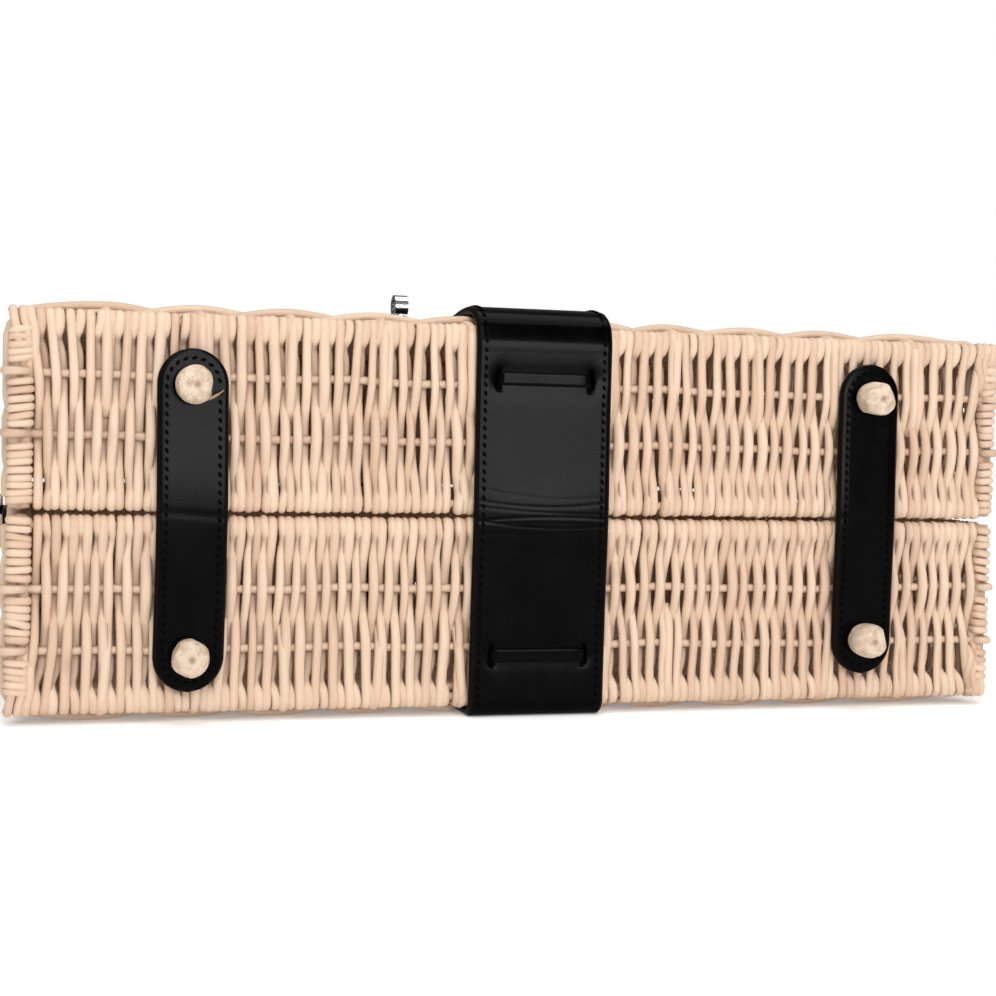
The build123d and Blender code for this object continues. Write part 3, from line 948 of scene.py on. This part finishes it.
# %% Hinge straps
def bend_at(joint, body, half):
    """A body and two points on either side of a joint's pivot."""
    pivot = joint_at(joint)
    start, end = [(0, pivot[1] * MM, (pivot[2] + shift) * MM) for shift in (-half, half)]
    return body, start, end


ACROSS_SEAM = bend_at("lid_hinge", "lid", 7.0)


def stadium(length, half, inset):
    """A closed stitch line inside a strip with two round ends, as (s, x) points."""
    radius = half - inset
    a = np.linspace(-np.pi / 2, np.pi / 2, 14)
    far = [(length - half + radius * math.cos(t), radius * math.sin(t)) for t in a]
    near = [(half - radius * math.cos(t), -radius * math.sin(t)) for t in a]
    return np.array(far + near + far[:1])


for side in ("left", "right"):
    low, high = box_mm(f"hinge_strap_{side}")
    x = (low[0] + high[0]) / 2
    y = (low[1] + high[1]) / 2
    half = (high[0] - low[0]) / 2
    length = high[2] - low[2]
    wander = 0.5 if side == "left" else -0.4
    route = [(x + wander * math.sin(math.pi * z / length), y, low[2] + z)
             for z in np.linspace(0, length, 60)]
    strip = Strip(route, (-1, 0, 0), 1, high[1] - low[1], round_end_width(length, half))
    seam_s = SEAM_Z - low[2]

    def strap_shape(s, x, seam_s=seam_s):
        cushion = 1.1 * math.exp(-(((s - seam_s) / 24.0) ** 2))
        crease = -0.08 * math.exp(-(((s - seam_s - 0.08 * x) / 0.9) ** 2))
        return cushion + crease

    stations = even_stations(length, 1.0, tight_start=True, tight_end=True)
    body = strip.mesh(LEATHER, stations, 9, strap_shape, seed=len(side))
    sewn = stitches(strip, stadium(length, half, STITCH_INSET), strap_shape)
    piece(f"strap_{side}", [body, sewn], "back_half", (f"hinge_strap_{side}",),
          ACROSS_SEAM)

# %% [markdown]
# The wide band starts under the closing flap on the front, goes down the front, across the
# base and up the back, and ends on the top under the flap's root. It swells a little over the
# edges of the basket, and the leather has creased across the seam where the lid opens.

# %% The centre band
band_t = 3.0
BAND_FRONT_END = 100.0
BAND_FACE = box_mm("lock_plate")[0][2]
SWELL_FROM = 122.0
TOP_RETURN = 24.0
mid_top = band_high[1] - band_t / 2
mid_back = band_low[2] + band_t / 2
mid_base = band_low[1] + band_t / 2
mid_front = BAND_FACE - band_t / 2
mid_crest = band_high[2] - band_t / 2
round_back = rounded_route(
    [(0, mid_top, TOP_RETURN), (0, mid_top, mid_back), (0, mid_base, mid_back),
     (0, mid_base, SWELL_FROM)], 3.6)
over_front = smooth_line(
    [(0, mid_base, SWELL_FROM), (0, mid_base + 0.1, SWELL_FROM + 5),
     (0, mid_base + 1.6, mid_crest - 4.9), (0, mid_base + 6.2, mid_crest - 1.3),
     (0, mid_base + 14.0, mid_crest), (0, mid_base + 24.0, mid_crest - 0.8),
     (0, mid_base + 34.0, mid_front + 0.7), (0, mid_base + 43.0, mid_front),
     (0, mid_base + 55.0, mid_front)], 60)
straight = np.linspace((0, mid_base + 57.0, mid_front), (0, BAND_FRONT_END, mid_front), 70)
band_route = np.vstack([round_back, over_front[1:], straight])
band_strip = Strip(band_route, (-1, 0, 0), 1, band_t, lambda s: BAND_HALF)
on_base = np.abs(band_strip.route[:, 1] - mid_base) < 0.01
BASE_S = band_strip.s[on_base][0] - band_strip.route[on_base][0][2]
SEAM_S = BASE_S + SEAM_Z
tab_back_low, tab_back_high = box_mm("band_tab_back")
tab_front_low, tab_front_high = box_mm("band_tab_front")
TAB_HALF = (tab_back_high[0] - tab_back_low[0]) / 2
TAB_S = [BASE_S + (tab_back_low[2] + tab_back_high[2]) / 2,
         BASE_S + (tab_front_low[2] + tab_front_high[2]) / 2]


THREAD_PRESSED = 0.56
CREASES = (
    (-5.6, -0.03, 0.006, 0.03),
    (-3.4, 0.04, 0.008, 0.06),
    (-1.7, 0.02, -0.004, 0.04),
    (0.2, -0.02, -0.006, 0.09),
    (1.8, 0.05, 0.004, 0.05),
    (3.6, 0.01, 0.010, 0.06),
    (6.6, 0.06, 0.012, 0.03),
)


def band_shape(s, x):
    """Creases at the seam, a soft swell between the tabs, and dents at the slits."""
    move = 0.0
    for shift, tilt, bow, deep in CREASES:
        line = SEAM_S + shift + tilt * x + bow * x * x / 3
        fade = 0.35 + 0.65 * math.cos(x / BAND_HALF * 1.2)
        move -= deep * fade * math.exp(-(((s - line) / 0.5) ** 2))
    move += 0.4 * math.exp(-(((s - SEAM_S) / 9.0) ** 2)) * math.cos(x / BAND_HALF * 1.4)
    move += 1.0 * math.exp(-(((s - SEAM_S) / 24.0) ** 2))
    for tab_s in TAB_S:
        far = abs(s - tab_s)
        curved = abs(x) - TAB_HALF + 0.2 + 0.05 * far**2
        slit = math.exp(-((curved / 0.65) ** 2)) * min(1.0, max(0.0, (4.2 - far) / 1.2))
        move -= 1.3 * slit
        move -= 0.25 * math.exp(-((curved / 3.2) ** 2)) * math.exp(-((far / 4.5) ** 2))
        move -= 0.35 * math.exp(-((far / 5.0) ** 2)) * math.exp(-((x / (TAB_HALF + 2)) ** 6))
    return move


def thread_shape(s, x):
    """The band's shape for its threads: on the back, where it lies, they are pressed flush."""
    return band_shape(s, x) - (THREAD_PRESSED if s < BASE_S + 3 else 0.0)


near_seam = np.arange(SEAM_S - 12, SEAM_S + 14, 0.45)
near_tabs = np.concatenate([np.arange(t - 5.4, t + 5.4, 0.5) for t in TAB_S])
corner_stations = band_strip.s[np.concatenate([[0], np.diff(band_strip.s)]) < 1.2]
band_stations = sorted(set(np.round(np.concatenate(
    [np.arange(0, band_strip.length, 2.5), [band_strip.length], near_seam, near_tabs,
     corner_stations]), 3)))
half_columns = np.concatenate([np.linspace(0, 0.58, 12), np.linspace(0.60, 0.80, 17),
                               np.linspace(0.84, 1, 5)])
band_columns = np.concatenate([-half_columns[:0:-1], half_columns])
band_body = band_strip.mesh(LEATHER, band_stations, band_columns, band_shape, seed=5)
row_x = BAND_HALF - STITCH_INSET
band_rows = [stitches(band_strip, [(1.5, side * row_x), (band_strip.length - 1.5, side * row_x)],
                      thread_shape) for side in (-1, 1)]
piece("centre_band_leather", [band_body, *band_rows], "back_half",
      ("centre_band",), ACROSS_SEAM)

# %% [markdown]
# Two short tabs hold the band to the basket: each shows between two slits, where its ends dive
# through the leather. A tab is a thin strip whose ends bend down out of sight.

# %% Band tabs
for name, body in (("back", "back_half"), ("front", "lid")):
    low, high = box_mm(f"band_tab_{name}")
    z = (low[2] + high[2]) / 2
    surface = band_low[1]
    reach = TAB_HALF - 0.6
    line = smooth_line([(-reach - 0.1, surface + 2.0, z), (-reach + 0.5, surface + 0.6, z),
                        (-reach + 3.0, surface - 0.2, z), (0, surface - 0.1, z),
                        (reach - 3.0, surface - 0.2, z), (reach - 0.5, surface + 0.6, z),
                        (reach + 0.1, surface + 2.0, z)], 60)
    tab_half = (high[2] - low[2]) / 2 - 0.2
    tab = Strip(line, (0, 0, 1), -1, 1.1, lambda s: tab_half)
    stations = even_stations(tab.length, 0.8)
    strip_body = tab.mesh(LEATHER, stations, 7, seed=9)
    strip_body[2]["edge"] = np.full(len(strip_body[0]), FAR_FROM_EDGE)
    piece(f"tab_{name}", [strip_body], body, (f"band_tab_{name}",))

# %% [markdown]
# The closing flap is pegged to the top of the back half, crosses the seam and comes down the
# front to the lock. Its tip is rounded and has a slot for the lock's post. It is left where it
# is made, on no body.

# %% The closing flap
flap_low, flap_high = box_mm("closing_flap")
flap_t = 2.8
plate_low, plate_high = box_mm("lock_plate")
lock_y = (plate_low[1] + plate_high[1]) / 2
flap_route = rounded_route(
    [
        (0, flap_high[1] - flap_t / 2, flap_low[2]),
        (0, flap_high[1] - flap_t / 2, flap_high[2] - flap_t / 2),
        (0, flap_low[1], flap_high[2] - flap_t / 2),
    ],
    4.2,
)
TIP_ROUND = 15.0


def flap_width(total):
    def width(s):
        left = total - s
        if left < TIP_ROUND:
            return BAND_HALF - TIP_ROUND + math.sqrt(max(TIP_ROUND**2 - (TIP_ROUND - left) ** 2, 0))
        return BAND_HALF

    return width


flap_strip = Strip(flap_route, (1, 0, 0), -1, flap_t, None)
flap_strip.half_width = flap_width(flap_strip.length)
SLOT_S = flap_strip.length - (lock_y - flap_low[1])
SLOT_HALF_LONG = 6.5
SLOT_HALF_WIDE = 3.8


def cut_slot(strip, part, centre_s):
    """Removes the faces over a round-ended slot and pulls the hole's rim on to its outline."""
    vertices, faces, attributes, material = part
    grains = np.array(attributes["grain"])
    s = grains[:, 0] - grains[:, 0].min() - centre_s
    x = grains[:, 1]
    core = np.clip(x, -(SLOT_HALF_LONG - SLOT_HALF_WIDE), SLOT_HALF_LONG - SLOT_HALF_WIDE)
    away = np.hypot(x - core, s)
    inside = away < SLOT_HALF_WIDE
    kept = [face for face in faces if not all(inside[v] for v in face)]
    used = np.zeros(len(vertices), bool)
    for face in kept:
        used[list(face)] = True
    rim = np.where(inside & used)[0]
    for v in rim:
        scale = SLOT_HALF_WIDE / max(away[v], 1e-6)
        new_x = core[v] + (x[v] - core[v]) * scale
        new_s = s[v] * scale
        middle, _, normal = strip.at(new_s + centre_s, 0, -strip.half_thickness)
        vertices[v] = middle + strip.across * new_x + normal * grains[v, 2]
        attributes["edge"][v] = 0.2
    top = [v for v in rim if grains[v, 2] > 0]
    low = [v for v in rim if grains[v, 2] < 0]
    order = sorted(top, key=lambda v: math.atan2(s[v], x[v]))
    mates = [min(low, key=lambda m: np.linalg.norm(vertices[m] - vertices[v])) for v in order]
    for (a, b), (c, d) in zip(zip(order, order[1:] + order[:1]), zip(mates, mates[1:] + mates[:1])):
        kept.append((a, b, d, c) if c != d else (a, b, d))
    return vertices, kept, attributes, material


flap_stations = sorted(set(np.round(np.concatenate(
    [np.arange(0, flap_strip.length, 2.0), [flap_strip.length],
     flap_strip.length - np.array([0.05, 0.2, 0.5, 1.0, 1.6, 2.4, 3.4]),
     np.arange(SLOT_S - 5, SLOT_S + 5.1, 0.9)]), 3)))
flap_body = flap_strip.mesh(LEATHER, flap_stations, 41, seed=3)
flap_body = cut_slot(flap_strip, flap_body, SLOT_S)
flap_edge = [(1.5, BAND_HALF - STITCH_INSET)]
flap_edge += [(s, flap_strip.half_width(s + 1.2) - STITCH_INSET)
              for s in np.linspace(6, flap_strip.length - STITCH_INSET - 0.4, 40)]
flap_line = flap_edge + [(s, -x) for s, x in flap_edge[::-1]]
flap_sewn = stitches(flap_strip, flap_line)
piece("flap_leather", [flap_body, flap_sewn], "back_half", ("closing_flap",),
      bend_at("flap_fold", "flap", 8.0))

# %% [markdown]
# The pegs are whittled from thick willow: a turned shape would be too even. Each starts as a
# body of revolution close to the CAD peg's sizes, and then a dozen flat knife cuts slice a
# little off it, which leaves facets, a slanting top and a rough outline.

# %% Whittled pegs
KNIFE_CUTS = 13
CUT_TILTS = [12.0, 38.0, 62.0, 82.0, 88.0]


def whittled_peg(name, foot, out, head_radius, head_height, tail, body, seed, splinter=False):
    rng = np.random.default_rng(seed)
    out = unit(np.asarray(out, float))
    side = unit(np.cross(out, (0.31, 0.52, 0.79)))
    third = np.cross(out, side)
    profile = [(0.0, 1.0), (0.22, 0.995), (0.45, 0.975), (0.65, 0.94), (0.82, 0.88), (0.93, 0.78),
               (0.985, 0.62), (1.0, 0.4), (0.985, 0.2), (0.95, 0.04), (0.92, 0.0), (0.62, 0.0)]
    rings = [(r * head_radius, h * head_height) for r, h in profile]
    rings += [(0.60 * head_radius, -0.5 * tail), (0.55 * head_radius, -0.8 * tail),
              (0.36 * head_radius, -tail), (0.0, -tail)]
    turns = 36
    angle = np.arange(turns) * 2 * np.pi / turns
    wobble = 1 + 0.02 * np.sin(2 * angle + rng.uniform(0, 6)) + 0.015 * np.sin(3 * angle + 1)
    local = np.array([[(r * wobble[k] * math.cos(a), r * wobble[k] * math.sin(a), h)
                       for k, a in enumerate(angle)] for r, h in rings]).reshape(-1, 3)
    disc = np.hypot(local[:, 0], local[:, 1])
    for _ in range(KNIFE_CUTS):
        turn_at = rng.uniform(0, 2 * np.pi)
        tilt = np.radians(rng.choice(CUT_TILTS) + rng.normal(0, 5))
        cut = np.array([math.cos(turn_at) * math.sin(tilt), math.sin(turn_at) * math.sin(tilt),
                        math.cos(tilt)])
        head = local[:, 2] > -0.01
        limit = (local[head] @ cut).max() - rng.uniform(0.25, 0.95) * head_radius / 6.5
        past = np.where(head, np.maximum(local @ cut - limit, 0), 0)
        local = local - past[:, None] * cut
    world = foot + local[:, :1] * side + local[:, 1:2] * third + local[:, 2:] * out
    faces = []
    for i in range(len(rings) - 1):
        for k in range(turns):
            n = (k + 1) % turns
            faces.append((i * turns + k, (i + 1) * turns + k, (i + 1) * turns + n, i * turns + n))
    grain = local + rng.uniform(0, 90, 3)
    parts = [(world, faces, {"disc": disc, "grain": grain}, PEG_WOOD)]
    if splinter:
        start = foot + out * head_height * 0.45
        curl = smooth_line([start + (3.0, 0, -4.6), start + (5.2, -0.6, -4.0),
                            start + (7.2, -1.2, -2.9), start + (8.8, -1.6, -1.6)], 14)
        taper = np.linspace(0.75, 0.12, 14)
        parts.append(rods([curl], taper, taper * 0.5, out, PEG_WOOD, rng, sides=6))
    piece(name, parts, body, (name,))


BASE_HEAD = 10.0
BASE_HEAD_SHARE = 0.475
for half, body, seed in (("back", "back_half", 31), ("front", "lid", 47)):
    for side, step in (("left", 0), ("right", 1)):
        name = f"base_peg_{half}_{side}"
        low, high = box_mm(name)
        middle = (low + high) / 2
        foot = np.array([middle[0], low[1] + BASE_HEAD, middle[2]])
        head_radius = (high[0] - low[0]) * BASE_HEAD_SHARE
        whittled_peg(name, foot, (0, -1, 0), head_radius, BASE_HEAD, high[1] - foot[1], body,
                     seed + step, splinter=name == "base_peg_front_left")
for kind, head_height in (("flap_peg", 5.0), ("handle_peg", 10.0)):
    for side, step in (("left", 0), ("right", 1)):
        name = f"{kind}_{side}"
        low, high = box_mm(name)
        middle = (low + high) / 2
        foot = np.array([middle[0], high[1] - head_height, middle[2]])
        whittled_peg(name, foot, (0, 1, 0), (high[0] - low[0]) / 2, head_height,
                     foot[1] - low[1], "back_half", 61 + step + len(kind))

# %% [markdown]
# The side pegs stand square to the leaning end walls. Their direction is the wall's outward
# normal, worked out from the lean of the ends.

# %% Side pegs
lean_out = unit(np.array([TOP_Y - BASE_Y, END_LEAN, 0.0]))
SIDE_HEAD = 6.0
for side, sign in (("left", -1), ("right", 1)):
    name = f"side_peg_{side}"
    low, high = box_mm(name)
    out = lean_out * np.array([sign, 1, 1])
    middle = (low + high) / 2
    depth = (high[0] - low[0]) / lean_out[0] - 0.5
    foot = middle + out * (depth / 2 - SIDE_HEAD)
    whittled_peg(name, foot, out, (high[2] - low[2]) / 2, SIDE_HEAD, depth - SIDE_HEAD,
                 "back_half", 90 + sign)

# %% [markdown]
# Each side ring hangs in a leather chape: a narrow strip pegged to the end wall that loops
# round the ring's bar. The strip's route is worked out from the CAD chape and the ring's
# joint, and ends in a spiral round the bar.

# %% Side chapes
CHAPE_T = 2.5
CHAPE_RUN = 34.0
BAR_HOLE = 1.3
for side, sign in (("left", -1), ("right", 1)):
    name = f"side_chape_{side}"
    low, high = box_mm(name)
    bar = joint_at(f"ring_{side}_swing")
    out = lean_out * np.array([sign, 1, 1])
    up = unit(np.array([-sign * END_LEAN, TOP_Y - BASE_Y, 0.0]))
    loop = BAR_HOLE + CHAPE_T / 2
    foot = bar - up * CHAPE_RUN - out * loop
    turn = np.radians(np.linspace(180, -100, 26))
    around = [bar + loop * (math.cos(a) * out + math.sin(a) * up) for a in turn]
    route = [foot + up * d for d in np.linspace(0, CHAPE_RUN - 1, 22)] + around
    strip = Strip(route, (0, 0, 1), 1 if sign > 0 else -1, CHAPE_T,
                  round_end_width(math.inf, (high[2] - low[2]) / 2, end_round=False))
    stations = even_stations(strip.length, 1.0, tight_start=True)
    body = strip.mesh(LEATHER, stations, 7, seed=13 + sign)
    edge_x = (high[2] - low[2]) / 2 - 2.2
    rows = [stitches(strip, [(7.0, way * edge_x), (32.0, way * edge_x)]) for way in (-1, 1)]
    piece(f"chape_{side}", [body, *rows], "back_half", (name,))

# %% [markdown]
# The handle is rolled leather: flat pegged ends, and between them a round grip that arches over
# the closing flap. The grip is one smooth tube that flattens where it meets the ends.

# %% The carrying handle
handle_low, handle_high = box_mm("handle")
GRIP = 5.5
handle_z = (handle_low[2] + handle_high[2]) / 2
grip_y = handle_low[1] + GRIP
rise = handle_high[1] - GRIP - grip_y
HANDLE_REACH = 62.0
TAB_INNER = 54.0
TAB_OUTER = 100.0
TAB_THICK = 3.0
radius = (HANDLE_REACH**2 + rise**2) / (4 * rise)
sweep_angle = 2 * math.atan(rise / HANDLE_REACH)
foot_arc = [(-HANDLE_REACH + radius * math.sin(a), grip_y + radius * (1 - math.cos(a)))
            for a in np.linspace(0, sweep_angle, 14)]
crown_arc = [(radius * math.sin(a), grip_y + rise - radius * (1 - math.cos(a)))
             for a in np.linspace(-sweep_angle, 0, 14)][1:]
left_half = [(-HANDLE_REACH - 12, grip_y - 2.6), (-HANDLE_REACH - 5, grip_y - 0.6)]
left_half += foot_arc + crown_arc
line = left_half + [(-x, y) for x, y in left_half[::-1][1:]]
path = np.array([(x, y, handle_z) for x, y in line])
share = np.abs(path[:, 0]) / (HANDLE_REACH + 12)
flatten = np.clip((share - 0.80) / 0.20, 0, 1)
rng = np.random.default_rng(7)
grip = rods([path], GRIP + flatten * 3.5, GRIP - flatten * 3.6, (0, 1, 0), LEATHER, rng, sides=20)
grip[2]["edge"] = np.full(len(grip[0]), FAR_FROM_EDGE)
parts = [grip]
tab_half = (handle_high[2] - handle_low[2]) / 2
tab_length = TAB_OUTER - TAB_INNER
for sign in (-1, 1):
    route = [(sign * (TAB_OUTER - d), handle_low[1] + TAB_THICK / 2, handle_z)
             for d in np.linspace(0, tab_length, 30)]
    tab = Strip(route, (0, 0, 1), sign, TAB_THICK, round_end_width(tab_length, tab_half))
    stations = even_stations(tab.length, 1.2, tight_start=True, tight_end=True)
    parts.append(tab.mesh(LEATHER, stations, 9, seed=sign + 3))
    parts.append(stitches(tab, stadium(tab.length, tab_half, STITCH_INSET)))
piece("handle_leather", parts, "back_half", ("handle",))

# %% [markdown]
# The lock and the rings keep their CAD shapes, which are exact. They only get the metal, put on
# each node's own material slot.

# %% Metal on the CAD nodes
for name in ("lock_plate", "lock_backplate", "lock_rivets", "lock_post", "lock_knob",
             "side_ring_left", "side_ring_right"):
    node = frame["nodes"][name]
    for place in node.material_slots:
        place.link = "OBJECT"
        place.material = METAL
    print(name, "slots", len(node.material_slots))

# %% [markdown]
# The floor is a large pale disc, wide enough to reach the horizon. It belongs to the stage and
# not to the bag. It lies a hair under the pairing crests.

# %% Floor
FLOOR_RADIUS = 12.0
FLOOR_Z = -0.00005


def floor():
    tree = Tree("pale_floor")
    place = tree.node("ShaderNodeTexCoord", {}, out="Object")
    cloud = tree.noise(place, 1.4, detail=2.0)
    body = tree.mix(cloud, (0.90, 0.90, 0.90, 1), (0.93, 0.93, 0.93, 1))
    material = tree.set(Base_Color=body, Roughness=0.8 + cloud * 0.1, Specular_IOR_Level=0.0,
                        Emission_Color=(1.0, 1.0, 1.0, 1), Emission_Strength=0.2)
    turns = 96
    angles = [2 * math.pi * k / turns for k in range(turns)]
    rim = [(FLOOR_RADIUS * math.cos(a), FLOOR_RADIUS * math.sin(a), FLOOR_Z) for a in angles]
    mesh = bpy.data.meshes.new("floor")
    mesh.from_pydata(rim, [], [tuple(range(turns))])
    mesh.materials.append(material)
    add_object("floor", mesh)


floor()

# %% [markdown]
# The light is a white studio. The world is white to the camera and dim to everything else. A
# large panel above and in front gives shape, and a wide one fills the shadows. A third, low in
# front, is seen only in reflections and puts the sheen on the leather. A very soft sun stands
# for the bright ceiling.

# %% Light
def area_light(name, place, target, size, power):
    data = bpy.data.lights.new(name, "AREA")
    data.shape = "RECTANGLE"
    data.size, data.size_y = size
    data.energy = power
    light = add_object(name, data)
    light.location = place
    way = Vector(target) - Vector(place)
    light.rotation_euler = way.to_track_quat("-Z", "Y").to_euler()
    return light


world = bpy.data.worlds.new("white_studio")
world.use_nodes = True
sky = world.node_tree
sky.nodes["Background"].inputs["Color"].default_value = (1.0, 1.0, 1.0, 1)
seen = sky.nodes.new("ShaderNodeLightPath").outputs["Is Camera Ray"]
level = sky.nodes.new("ShaderNodeMapRange")
level.inputs["To Min"].default_value = 0.14
level.inputs["To Max"].default_value = 1.0
sky.links.new(seen, level.inputs["Value"])
sky.links.new(level.outputs["Result"], sky.nodes["Background"].inputs["Strength"])
bpy.context.scene.world = world
centre = (0, 0, SEAM_Z * MM)
area_light("key", (-0.4, -1.9, 1.25), centre, (1.6, 1.0), 29)
fill = area_light("fill", (0.6, -2.3, 0.5), centre, (2.2, 0.6), 9)
fill.visible_glossy = False
gloss = area_light("gloss", (0.35, -2.2, 0.34), centre, (1.2, 0.52), 32)
gloss.visible_diffuse = False
sun_data = bpy.data.lights.new("ceiling", "SUN")
sun_data.energy = 2.1
sun_data.angle = math.radians(60)
add_object("ceiling", sun_data)
bpy.context.scene.view_settings.view_transform = "Standard"

# %% [markdown]
# The camera looks at the base from the left and slightly above, with a short telephoto lens. It
# is turned by yaw, pitch and roll, so its axes are worked out from those three angles.

# %% Camera
CAMERA_AT = (-0.2095, -0.7456, 0.1036)
YAW, PITCH, ROLL = (math.radians(a) for a in (17.42, -2.62, 1.51))
camera_data = bpy.data.cameras.new("camera")
camera_data.lens = 70.0
camera_data.sensor_width = 36.0
camera_data.clip_start = 0.01
camera = add_object("camera", camera_data)
level_way = math.cos(PITCH)
forward = Vector((math.sin(YAW) * level_way, math.cos(YAW) * level_way, math.sin(PITCH)))
right = forward.cross(Vector((0, 0, 1))).normalized()
up = right.cross(forward)
right_rolled = right * math.cos(ROLL) + up * math.sin(ROLL)
up_rolled = up * math.cos(ROLL) - right * math.sin(ROLL)
turned = Matrix((right_rolled, up_rolled, -forward)).transposed().to_4x4()
camera.matrix_world = Matrix.Translation(CAMERA_AT) @ turned
bpy.context.scene.camera = camera
print("camera at", tuple(round(v, 3) for v in camera.matrix_world.translation))
